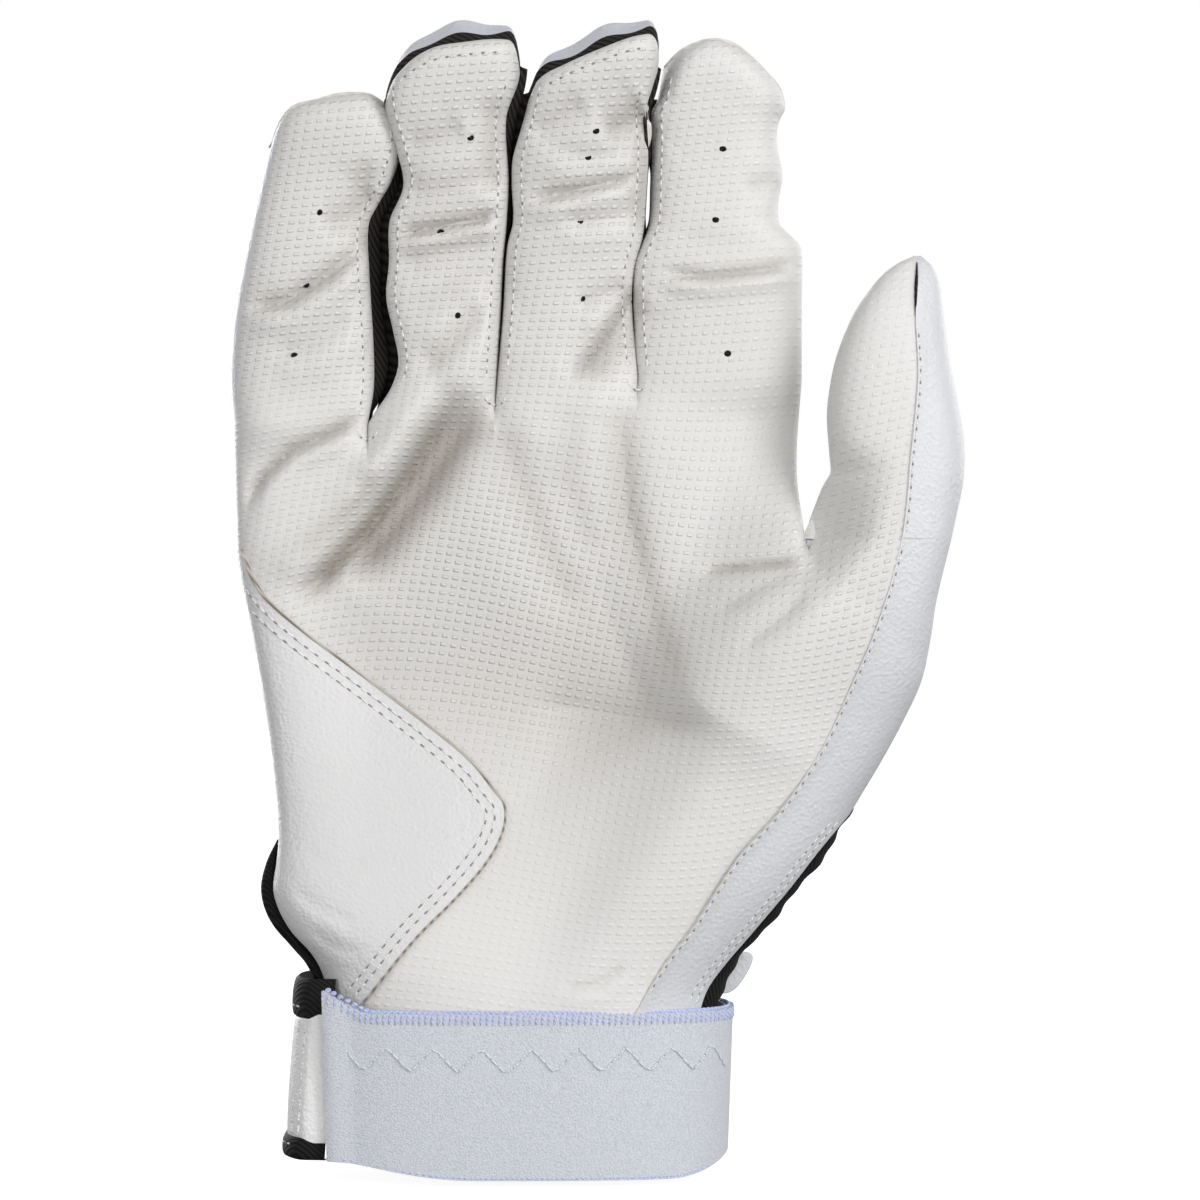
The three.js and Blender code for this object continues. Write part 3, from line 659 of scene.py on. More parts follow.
def hand_y(side, x, z, u=None, top=None, floor=None):
    """Depth of the hand's front (side -1) or back (side 1): the two lobes joined by a smooth maximum, on the
    leaning middle surface. With u, top and floor it ends in the finger bases."""
    below = z <= CROTCH_Z + NEAR
    left = left_edge(z)
    right = np.where(below, thumb_edge(z), index_edge(z))
    reach = right
    if side > 0:
        limit, round_off = BACK_REACH
        reach = -round_off * np.logaddexp(-right / round_off, -limit / round_off)
    palm_right = np.where(below, mix(CROTCH_X, reach, ease(z, CROTCH_Z, WEB_LOW)), right)
    palm = palm_depth[side](z) * arch((2 * x - left - palm_right) / (palm_right - left), hand_power(z))
    to_thumb = ease(x, web_from(z), web_to(z)) * ease(z, *WEB_FADE)
    if side > 0:
        at_ball = ease(z, *BALL_HEIGHTS) * ease(z, CROTCH_Z, WEB_LOW)
        palm = palm * mix(1, ease(palm_right - x, 0, BACK_EASE), at_ball)
        to_thumb = to_thumb * ease(x, back_from(z), back_to(z))
    t = (2 * x - lobe_left(z) - right) / (right - lobe_left(z))
    ball = np.where(t > 0, arch(t, hand_power(z)), ease(t, -1, 0))
    thumb = np.where(below, thumb_depth[side](z) * ball, 0)
    stand = (palm**LOBE_JOIN + thumb**LOBE_JOIN) ** (1 / LOBE_JOIN)
    if u is not None:
        stand = mix(stand, KNUCKLE_DEPTH * base_profile(u, floor), ease(z, top - BASE_FADE, top))
    return mix(palm_middle(z), thumb_middle(z), to_thumb) + side * stand


print("palm thickness at z 100 in mm:", np.round(hand_y(1, -10.0, 100.0) - hand_y(-1, -10.0, 100.0), 1))

# %% [markdown]
# Every piece says which solid it takes the place of and what it is made of, and a piece of the hand or the
# cuff says which body carries it. The glove's fingers and thumb bend at their bases, but here the pieces of
# the fingers and the thumb are only baked in place.

# %% Bodies
FINGER_NAMES = ("little", "ring", "middle", "index")
bend_from = {name + "_finger": max(SLIT_HEIGHTS[i:i + 2]) for i, name in enumerate(FINGER_NAMES)}
bend_from["thumb"] = CROTCH_Z


def dress(piece, node=None, body="hand"):
    """Hides the solid that a piece replaces, if one is given, and gives the piece its body. A piece on a
    finger's or the thumb's body is only baked in place, with no body and no blend from the hand to the
    finger."""
    if node:
        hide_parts(node)
    if body in bend_from:
        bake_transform(piece)
    else:
        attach(piece, body)


print("bodies that bend:", ", ".join(bend_from))

# %% [markdown]
# Leather on a hand folds. Each fold is a line on the front view with a depth and a width: the surface
# sinks along the line and swells a little on one side of it, and both fade at the line's ends. A cloth
# simulation could make folds too, but not these ones, in these places.

# %% Lines of the folds
FOLDS = [
    # points of the line (x, z), depth, width, swell on one side of the line
    ([(-25.5, 158), (-33, 146.8), (-38.6, 138.3), (-46.4, 128), (-56, 118), (-62, 113)], 5.6, 2.2, 2.8),
    ([(-21.5, 157), (-29, 145.8), (-34.6, 137.3), (-42.4, 127), (-52, 118)], 5.0, 4.4, 0.0),
    ([(-20.8, 156), (-17.6, 143), (-10.8, 125), (-3.2, 108)], 1.3, 4.0, 0.5),
    ([(-4.8, 156), (-6.6, 138), (0, 120)], 1.0, 3.6, 0.4),
    ([(8.4, 160), (4.6, 148), (6, 131), (9, 119.7), (11.8, 108.7), (16, 98), (19.6, 91)], 2.2, 3.4, 0.0),
    ([(23, 87.5), (17, 89.6), (10, 90.4), (0, 91.4), (-14, 94)], 1.8, 3.2, 0.0),
    ([(-72, 131), (-67, 139), (-61.7, 144), (-54, 147.4), (-46, 151.5)], 3.0, 1.1, 1.2),
    ([(-62, 121), (-54, 128), (-47, 134), (-44, 141)], 2.0, 2.6, 0.8),
    ([(-72, 172.4), (-62, 174), (-54, 179), (-46, 185.5)], 2.8, 1.5, 1.4),
    ([(-66, 163), (-58, 165), (-48, 171)], 0.9, 1.8, 0.8),
    ([(-56, 189), (-50, 190), (-44, 196)], 1.6, 3.2, 0.8),
    ([(-42, 186.6), (-32, 188.6), (-24, 190), (-19, 192)], 3.0, 1.1, 1.4),
    ([(-40, 195), (-29, 196), (-19, 199)], 1.2, 3.6, 0.6),
    ([(-39, 171), (-30, 175), (-19.6, 181)], 0.9, 3.4, 0.9),
    ([(-36, 159), (-29, 166), (-22.6, 173.4)], 1.6, 2.4, 1.2),
    ([(-15, 193.6), (-3, 196), (9, 199)], 2.6, 1.2, 1.2),
    ([(-12, 205), (-2, 202), (10, 204)], 0.8, 1.8, 0.5),
    ([(1, 206), (6, 209), (10, 212)], 2.8, 3.2, 0.6),
    ([(-8, 191), (-3, 189.4), (7, 190.6)], 0.9, 1.4, 0.5),
    ([(6.5, 214), (9, 205), (9, 196), (8, 186)], 2.6, 2.4, 0.0),
    ([(-20.5, 215), (-20, 205), (-21, 194)], 2.2, 2.6, 0.0),
    ([(-46, 203), (-47, 192), (-45.5, 181)], 2.0, 2.4, 0.0),
    ([(-41, 181), (-31, 184), (-20, 187)], 1.3, 3.6, 0.4),
    ([(-39, 204), (-32, 205.4), (-26, 208)], 1.2, 3.0, 0.5),
    ([(-14, 206), (-8, 209), (-2, 213)], 1.2, 2.6, 0.4),
    ([(-6, 157), (0, 165), (6, 174), (8, 178)], 3.2, 1.3, 2.0),
    ([(-3, 156), (3, 164), (8, 172), (10, 176)], 2.4, 2.6, 0.0),
    ([(-5, 173), (0, 174.6), (6, 177.4)], 1.2, 2.0, 0.9),
    ([(11, 179.8), (22, 178.8), (33, 180.2), (40.8, 181.8)], 2.3, 1.0, 1.2),
    ([(14, 187), (24, 185), (37, 185)], 0.5, 3.0, 0.5),
    ([(12, 213), (14, 221), (16, 226)], 1.0, 1.4, 0.5),
    ([(29, 195.6), (36, 198.6)], 1.0, 1.8, 0.5),
    ([(19, 119.6), (30, 121), (40, 122)], 2.6, 1.0, 0.7),
    ([(22, 111), (32, 117), (40, 120.4)], 1.0, 1.2, 0.4),
    ([(27, 104), (36, 111), (41.6, 117)], 0.8, 1.2, 0.4),
    ([(-61, 58), (-54, 53), (-47, 51)], 0.4, 1.0, 0.2),
    ([(-58, 50), (-52, 46), (-46, 45)], 0.4, 0.9, 0.2),
    ([(-60, 65), (-52, 62), (-44, 63)], 0.25, 1.2, 0.2),
    ([(-8, 38), (0, 39), (6, 43)], 0.7, 0.9, 0.3),
]
print("folds:", len(FOLDS))

# %% [markdown]
# Between the folds the palm is cupped: it sinks from the knuckles to a line across the hand and climbs again
# to the heel, and painted shade darkens it as it sinks. The back swells over four knuckles.

# %% Hollow, folds and knuckles
HOLLOW = 6.8
HOLLOW_CORNER = 20.0
# Share of painted shade in the hollow, which grows with its depth.
HOLLOW_SHADE = 0.27
HOLLOW_CLIMB = (54.0, 55.0)  # from the floor line up to the knuckles, and down to the heel
HOLLOW_LEFT = (-70.0, -44.0)
HOLLOW_SHALLOW, HOLLOW_DEEP, HOLLOW_TILT = 0.75, 1.1, (-45.0, 15.0)
HOLLOW_STEEP, HOLLOW_GENTLE, HOLLOW_TURNS = 5.5, 30.0, (96.0, 76.0)
hollow_floor = curve(
    (-66, 117), (-58, 110), (-42, 97), (-30, 94.6), (-20, 93.6), (0, 91), (20, 88.5), (24, 88),
)
hollow_right = curve(
    (80, 18), (90, 16.5), (98, 12.5), (108, 8), (119, 5.5), (131, 5.5), (148, 6.5), (160, 9),
)
SLACK = 0.4
SLACK_WAVES = ((9.1, 17.0), (-23.0, 11.3))
FOLD_ENDS = (0.25, 0.8)
VALLEY_ROUND = 0.3
BANK_AWAY, BANK_WIDTH = 2.4, 1.8
# Painted shade with some grime along each fold: share, depth for the full share, and width as a share of the
# fold's.
FOLD_SHADE_AND_GRIME, GREY_DEPTH, GREY_WIDTH = 0.8, 6.0, 1.1
KNUCKLES = [(-58, 139), (-33, 144), (-6.5, 147), (24, 145)]
KNUCKLE_RISE = 1.5
KNUCKLE_SIZE = (8.0, 8.0)


def hollow(x, z):
    """Depth of the palm's hollow, as a share: two slopes from a floor line, up to the knuckles and up to the
    heel, met in a rounded corner by a smooth minimum. It ends at the ball of the thumb."""
    off = z - hollow_floor(x)
    up, down = HOLLOW_CLIMB
    slopes = np.exp(-HOLLOW_CORNER * (1 - off / up)) + np.exp(-HOLLOW_CORNER * (1 + off / down))
    share = np.maximum(-np.log(slopes) / HOLLOW_CORNER, 0)
    share = share * mix(HOLLOW_SHALLOW, HOLLOW_DEEP, ease(x, *HOLLOW_TILT))
    reach = mix(HOLLOW_STEEP, HOLLOW_GENTLE, ease(z, *HOLLOW_TURNS))
    return share * ease(x, *HOLLOW_LEFT) * ease(x, hollow_right(z) + reach, hollow_right(z) - reach)


def folded(x, z):
    """Rise of the leather off its plain surface, and its painted shade: slack waves, the hollow, and for each
    fold a rounded valley along its line with a bell-shaped bank beside it. The shade is painted in the hollow
    and along each fold, where it holds some grime too."""
    sunk = hollow(x, z)
    waves = [np.sin(x / across + z / up) for across, up in SLACK_WAVES]
    rise = SLACK * waves[0] * waves[1] - HOLLOW * sunk
    # Painted shade in the hollow.
    grey = HOLLOW_SHADE * sunk**2
    for path, depth, width, swell in FOLDS:
        off, side, share = along(path, x, z)
        fade = ease(share, 0, FOLD_ENDS[0]) * ease(share, 1, FOLD_ENDS[1])
        valley = np.exp(VALLEY_ROUND - np.sqrt((off / width) ** 2 + VALLEY_ROUND**2)) * fade
        bank = np.exp(-(((off * side - BANK_AWAY * width) / (BANK_WIDTH * width)) ** 2)) * fade
        rise = rise - depth * valley + swell * bank
        # Painted shade with some grime, more for a deeper fold.
        fold_shade_and_grime = FOLD_SHADE_AND_GRIME * min(depth / GREY_DEPTH, 1) * fade
        grey = np.maximum(grey, fold_shade_and_grime * np.exp(-((off / (GREY_WIDTH * width)) ** 2)))
    return rise, grey


def knuckles(x, z):
    """Rise of the back leather over the four knuckles, each a round swelling."""
    return KNUCKLE_RISE * sum(bell(x, z, middle, KNUCKLE_SIZE) for middle in KNUCKLES)


print("deepest fold in mm:", max(depth for _, depth, _, _ in FOLDS))

# %% [markdown]
# The rows of bricks sag across the hollow of the palm and lean towards the fingers, because the hide is
# stretched over the hand. The map of the leather is bent in the same way.

# %% Pattern on the palm leather
PRESSED_PLAIN = 0.3
PRESSED_FINGERS, PRESSED_UP, PRESSED_OVER = 0.4, (150, 165), (45, 0)
PRESSED_SPOTS = [
    # middle (x, z), size across and up, pressing added
    ((-14, 118), (42, 30), 0.75),
    ((52, 118), (12, 35), 0.35),
]
ROW_SAG, SAG_MIDDLE, SAG_WAVE, SAG_HEIGHT = 9.0, (-8.0, 115.0), 26.0, 42.0
ROW_RISE, HEEL_X, HEEL_WAVE, HEEL_FADE = 5.0, 14.0, 22.0, (95, 60)
ROW_LEAN, LEAN_FROM = 0.18, 100.0
ROW_TILT = 0.08
LEATHER = 1.1


def pressing(x, z):
    """Share of the pressed pattern left: full in the hollow of the palm, worn on the stretched highs."""
    left = PRESSED_PLAIN + PRESSED_FINGERS * ease(z, *PRESSED_UP) * ease(x, *PRESSED_OVER)
    return np.clip(left + sum(more * bell(x, z, *spot) for *spot, more in PRESSED_SPOTS), 0, 1)


def flow(x, z):
    """Map of the palm in mm: x and z, leaned and tilted, with waves across the hollow and the heel."""
    sag = ROW_SAG * np.sin((x - SAG_MIDDLE[0]) / SAG_WAVE)
    sag = sag * np.exp(-(((z - SAG_MIDDLE[1]) / SAG_HEIGHT) ** 2))
    heel = ROW_RISE * np.cos((x - HEEL_X) / HEEL_WAVE) * ease(z, *HEEL_FADE)
    return np.stack([x - ROW_LEAN * (z - LEAN_FROM), z + sag + heel - ROW_TILT * x], -1)


def pressed_sheet(name, grid, edge, lay=None, keep=None, outward=None, normal=None):
    """A sheet of palm leather, with its map, its pressing and its painted shade read off the front view."""
    x, z = grid[..., 0], grid[..., 2]
    # The fold mark carries painted shade in the hollow, and painted shade with some grime along the folds.
    marks = {"pressed": pressing(x, z), "fold": folded(x, z)[1]}
    lay = flow(x, z) if lay is None else lay
    return sheet(name, grid, LEATHER, palm_skin, keep, edge, lay, marks, outward, normal)


print("pressing left in the palm's middle:", round(float(pressing(-14.0, 118.0)), 2))

# %% [markdown]
# The palm is one sheet from the wrist to the bases of the fingers, and on to the seam of the thumb
# strip. Its columns run up to the fingers; more columns on the right stop at the crotch of the thumb.
# Folds are held flat where the leather is sewn: at the left edge, at the slits and at the thumb's edge.

# %% Grid of the hand
FINGER_COLUMNS = 36
LOWER_ROWS = 140
UPPER_ROWS = 44
THUMB_COLUMNS = 44
COLUMN_CROWDING = 0.6
EDGE_HOLD = 4.0
THUMB_HOLD = (2.0, 10.0)
SLIT_HOLD = 12.0
HOLD_POWER = 6
KNUCKLE_FADE, KNUCKLE_POWER = 8.0, 4
spread = np.linspace(-1, 1, FINGER_COLUMNS + 1)
ACROSS = mix(spread, np.sin(spread * math.pi / 2), COLUMN_CROWDING)


def palm_rise(x, z):
    """Rise of the folds over the palm, which dies out at the hand's left edge."""
    return folded(x, z)[0] * ease(x - left_edge(z), 0, EDGE_HOLD)


def ball_rise(x, z):
    """Rise of the folds over the ball of the thumb, which dies out at the hand's right edge."""
    return folded(x, z)[0] * ease(thumb_edge(z) - x, *THUMB_HOLD)


def slit_hold(u, z, top):
    """Share of a fold that is left near a slit: less towards a finger's sides in the last millimetres."""
    return mix(1, arch(u, HOLD_POWER), ease(z, top - SLIT_HOLD, top))


def hand_columns():
    """The hand's columns, finger by finger: place across the finger, x and z of its base, and slit floor."""
    share = (ACROSS + 1) / 2
    fingers = len(FINGER_NAMES)
    q = np.r_[np.concatenate([share[:-1] + number for number in range(fingers)]), fingers]
    u = np.r_[np.tile(ACROSS[:-1], fingers), 1.0]
    return u, *(np.interp(q, SLIT_NUMBERS, values) for values in (SLITS, SLIT_HEIGHTS, BASE_FLOOR))


def hand_grid(side, thumb_end, ball_share):
    """Grid of the hand's front or back: x by share of the width, z in rows, y from the two lobes."""
    u, base_x, base_z, floor = hand_columns()
    share = (base_x - SLITS[0]) / (SLITS[-1] - SLITS[0])
    low = np.linspace(WRIST_Z, CROTCH_Z, LOWER_ROWS)[:, None]
    x_low = mix(left_edge(low), web_line(low), share)
    x_ball = mix(web_line(low), thumb_end(low), ball_share[1:])
    climb = np.linspace(0, 1, UPPER_ROWS + 1)[1:, None]
    z_high = mix(CROTCH_Z, base_z, climb)
    x_high = mix(left_edge(z_high), index_edge(z_high), share)
    x_high = x_high + (base_x - x_high[-1]) * climb**2
    x_high[-1] = base_x
    x = np.concatenate([x_low, x_high])
    z = np.concatenate([np.broadcast_to(low, x_low.shape), z_high])
    y = hand_y(side, x, z, u, base_z, floor)
    y_ball = hand_y(side, x_ball, low)
    if side < 0:
        y = y - palm_rise(x, z) * slit_hold(u, z, base_z)
        y_ball = y_ball - ball_rise(x_ball, low)
    else:
        y = y + knuckles(x, z) * arch(u, KNUCKLE_POWER) * ease(z, base_z, base_z - KNUCKLE_FADE)
    fingers = xyz(x, y, z)
    ball = xyz(x_ball, y_ball, low)
    above = np.broadcast_to(fingers[LOWER_ROWS:, -1:], (UPPER_ROWS, ball.shape[1], 3))
    points = np.concatenate([fingers, np.concatenate([ball, above])], axis=1)
    keep = np.ones((points.shape[0] - 1, points.shape[1] - 1), bool)
    keep[LOWER_ROWS - 1:, len(u) - 1:] = False
    normal = np.zeros_like(points)
    normal[:LOWER_ROWS] = grid_normals(points[:LOWER_ROWS])
    normal[LOWER_ROWS:, :len(u)] = grid_normals(fingers)[LOWER_ROWS:]
    return points, keep, normal


print("columns under the fingers:", len(hand_columns()[0]))

# %% Palm
ball_share = from_start(THUMB_COLUMNS)
palm, palm_keep, palm_normal = hand_grid(-1, thumb_seam, ball_share)
piece = pressed_sheet("palm_leather", palm, raw_edge, None, palm_keep, TO_FRONT, palm_normal)
dress(piece, "palm_panel")
print("palm:", len(piece.data.vertices), "points")

# %% [markdown]
# The back is one sheet of smooth leather with a slit at the wrist, so that a hand can get in. On the thumb
# side it and the thumb strip stop short of the hand's edge, and a stretch insert fills the opening.

# %% Back of the hand
INSERT_TOP = 73.0
INSERT_CLOSES = 62.0
SLIT_X = -10.0
SLIT_TOP = 78.0
SLIT_WIDTH = 2.4
SLIT_MARGIN = 1.0
strip_line = curve((WRIST_Z, 4.4), (34, 4.2), (42, 3), (52, 2.8), (CROTCH_Z, 3))
back_line = curve((WRIST_Z, 12), (INSERT_CLOSES, 4), (CROTCH_Z, 3))


def insert_open(z):
    """Share of the insert's opening at a height: full below, then a parabola that closes at its top."""
    return 1 - np.clip((z - INSERT_CLOSES) / (INSERT_TOP - INSERT_CLOSES), 0, 1) ** 2


def strip_end(z):
    """Where the thumb strip stops short of the hand's edge."""
    return thumb_edge(z) - strip_line(z) * insert_open(z)


def back_end(z):
    """Where the back leather stops short of the hand's edge."""
    return thumb_edge(z) - back_line(z) * insert_open(z)


back, back_keep, back_normal = hand_grid(1, back_end, (1 + crowded(2 * THUMB_COLUMNS)) / 2)
beside_slit = np.abs(back[..., 0] - SLIT_X) < SLIT_WIDTH / 2 + SLIT_MARGIN
inside_slit = beside_slit & (back[..., 2] < SLIT_TOP + SLIT_MARGIN)
back_keep &= ~(inside_slit[:-1, :-1] | inside_slit[:-1, 1:])
piece = sheet(
    "back_leather", back, LEATHER, shaded_back_skin, back_keep, pale_edge, outward=TO_BACK, normal=back_normal,
)
dress(piece, "back_panel")
print("back:", len(piece.data.vertices), "points")

# %% [markdown]
# The thumb strip is smooth leather from the seam to the outer edge. At the seam its edge is turned under, so
# it stands up as a lip. Below the thumb its outer edge draws in and a black stretch insert shows behind it,
# round to the back leather. The knit ripples because the wrist is narrower than the hand.

# %% Thumb strip and stretch insert
LIP_HEIGHT, LIP_WIDTH = 0.5, 1.6
INSERT_LAP = 3.0
INSERT_SUNK, INSERT_UNDER = 0.7, 0.9
INSERT_STEP = (-0.5, 1.0)
RIPPLES = ((0.35, 1.9), (0.25, 0.8))


def seam_lip(x, z):
    """Rise of the strip's turned edge: a bell across the thumb's seam."""
    return LIP_HEIGHT * np.exp(-(((x - thumb_seam(z)) / LIP_WIDTH) ** 2))


def insert_face(side, end, share, z):
    """Front or back of the insert: it starts under the leather's end and runs to the hand's edge."""
    x = mix(end(z) - INSERT_LAP, thumb_edge(z), share)
    sunk = INSERT_SUNK + INSERT_UNDER * ease(end(z) - x, *INSERT_STEP)
    return xyz(x, hand_y(side, x, z) - side * sunk, z)


strip_share = to_end(40)
z = np.linspace(WRIST_Z, CROTCH_Z, 130)[:, None]
x = mix(thumb_seam(z), strip_end(z), strip_share)
strip = xyz(x, hand_y(-1, x, z) - seam_lip(x, z), z)
piece = sheet("thumb_strip_leather", strip, LEATHER, smooth_skin, edge=pale_edge, outward=(0.6, -1, 0))
dress(piece, "thumb_strip")

z = np.linspace(WRIST_Z, INSERT_TOP, 60)[:, None]
insert_share = to_end(16)
insert = np.concatenate([
    insert_face(-1, strip_end, insert_share, z),
    insert_face(1, back_end, insert_share[::-1], z)[:, 1:],
], axis=1)
ripple = sum(height * np.sin(z / length) for height, length in RIPPLES)
insert[..., 0] += ripple * ease(insert[..., 0] - thumb_edge(z), -INSERT_LAP, 0)
piece = sheet("stretch_insert", insert, 1.0, black_knit, outward=TO_THUMB)
dress(piece, "thumb_knit_insert")
print("strip and insert:", strip.shape, insert.shape)

# %% [markdown]
# Seams are lockstitched: a short length of thread, a needle hole, and the next length. Each stitch is a
# stretched bead and each hole a flat dark one, painted shade of the hole.

# %% Rows of stitches
STITCH_PITCH = 2.6
STITCH = (0.95, 0.26, 0.22)
NEEDLE_HOLE = (0.4, 0.26, 0.12)
HOLE_PROUD = 0.02


def sew(
    name, rows, body="hand", out=TO_FRONT, pitch=STITCH_PITCH, size=STITCH, thread=white_thread,
    hole=NEEDLE_HOLE,
):
    """Rows of stitches on one body: a thread bead for each stitch and a dark hole where two meet."""
    sewn = [stitched(row, pitch) for row in rows]
    middles = np.concatenate([middle for middle, _, _ in sewn])
    runs = np.concatenate([run for _, run, _ in sewn])
    holes = np.concatenate([ends[1:-1] for _, _, ends in sewn])
    ways = np.concatenate([(run[1:] + run[:-1]) / 2 for _, run, _ in sewn])
    out = np.array(out, float)
    threads = beads(name + "_thread", middles, runs, out, size, thread)
    dots = beads(name + "_holes", holes + out * HOLE_PROUD, ways, out, hole, needle_dark)
    for piece in (threads, dots):
        dress(piece, body=body)
    print(name, "stitches:", len(middles))


# %% [markdown]
# The heel patch is a second layer of smooth leather sewn on the palm. Its cut edge shows as a dark line,
# and two rows of stitches follow it inside.

# %% Heel patch
PATCH_LEATHER = 0.9
PATCH_LOW, PATCH_HIGH = 33.6, 124.5
PATCH_ROWS = (2.2, 3.9)
CUT_EDGE = 0.26
patch_edge = curve(
    (PATCH_LOW, -47.4), (37, -44.6), (48, -35.6), (56, -27.6), (63, -21.6), (69, -18.6), (74, -18.4),
    (77, -20.6), (83, -25.6), (91, -35.6), (100, -47.6), (109, -59.6), (116, -67.2), (PATCH_HIGH, -71.6),
)


def patch_point(x, z):
    """A point on the patch's face: the palm with its folds, and the patch's thickness on it."""
    return xyz(x, hand_y(-1, x, z) - palm_rise(x, z) - PATCH_LEATHER, z)


def patch_row(inset):
    """A line of points on the patch, at a distance inside its cut edge."""
    z = np.linspace(PATCH_LOW + 0.8, PATCH_HIGH - 3.5, 240)
    x = patch_edge(z)
    run = unit(np.stack([np.gradient(x), np.gradient(z)], -1))
    x, z = x - inset * run[:, 1], z + inset * run[:, 0]
    inside = (x > left_edge(z) + 0.6) & (z > PATCH_LOW + 0.4) & (x < patch_edge(z) - inset * 0.6)
    return patch_point(x[inside], z[inside])


z = np.linspace(PATCH_LOW, PATCH_HIGH, 120)[:, None]
patch = patch_point(mix(left_edge(z) + 0.1, patch_edge(z), from_start(50)), z)
piece = sheet("heel_patch_leather", patch, PATCH_LEATHER, patch_skin, edge=raw_edge, outward=(-0.3, -1, 0))
dress(piece, "heel_patch")
sew("heel_patch", [patch_row(inset) for inset in PATCH_ROWS], hole=(0.6, 0.22, 0.12))
cut_line = patch_row(0.1)
cut_side = np.cross(unit(np.gradient(cut_line, axis=0)), TO_FRONT)
piece = tube("heel_patch_cut_edge", cut_line, TO_FRONT, cut_side, CUT_EDGE, CUT_EDGE, raw_edge, around=8)
dress(piece)
print("heel patch:", patch.shape)

# %% [markdown]
# Two rows follow the strip's outer edge over the insert, one row closes its seam, and a short bar of stitches
# goes round the base of each slit between two fingers, where the leather would tear first.

# %% Stitches of the strip and the slits
STRIP_ROWS = (1.3, 2.7)
SEAM_SEWN = dict(pitch=2.2, size=(0.8, 0.16, 0.12), hole=(0.36, 0.2, 0.12))
SLIT_LOOP = (2.4, 2.8)
SLIT_DROP = 0.6
SLIT_PROUD = 0.15


def palm_y(x, z):
    """Front of the palm near the finger bases, under the points (x, z) of the front view."""
    q = np.interp(x, SLITS, SLIT_NUMBERS)
    u = 2 * (q % 1) - 1
    top = np.interp(q, SLIT_NUMBERS, SLIT_HEIGHTS)
    floor = np.interp(q, SLIT_NUMBERS, BASE_FLOOR)
    return hand_y(-1, x, z, u, top, floor) - palm_rise(x, z) * slit_hold(u, z, top)


z = np.linspace(35, 71, 160)
edge_lines = [strip_end(z) - inset for inset in STRIP_ROWS]
edge_rows = [xyz(x, hand_y(-1, x, z), z) for x in edge_lines]
sew("strip_edge", edge_rows, out=(0.3, -1, 0), pitch=2.0, size=(0.75, 0.2, 0.16), hole=(0.3, 0.18, 0.1))
z = np.linspace(37, CROTCH_Z - 0.5, 260)
x = thumb_seam(z) + 0.5
sew("strip_seam", [xyz(x, hand_y(-1, x, z) - LIP_HEIGHT, z)], **SEAM_SEWN)
turn = np.linspace(math.pi * 1.12, math.pi * 1.88, 40)
slit_rows = []
for slit_x, slit_top in zip(SLITS[1:-1], SLIT_HEIGHTS[1:-1]):
    x = slit_x + SLIT_LOOP[0] * np.cos(turn)
    z = slit_top - SLIT_DROP + SLIT_LOOP[1] * np.sin(turn)
    slit_rows.append(xyz(x, palm_y(x, z) - SLIT_PROUD, z))
sew("slit_base", slit_rows, pitch=1.8, size=(0.7, 0.22, 0.18), hole=(0.3, 0.2, 0.12))

# %% [markdown]
# ## The fingers
# Each finger has a front of palm leather, a back of smooth leather and knit strips between them.
# Its outline in the front view is a left and a right edge by height and a top edge by place across.

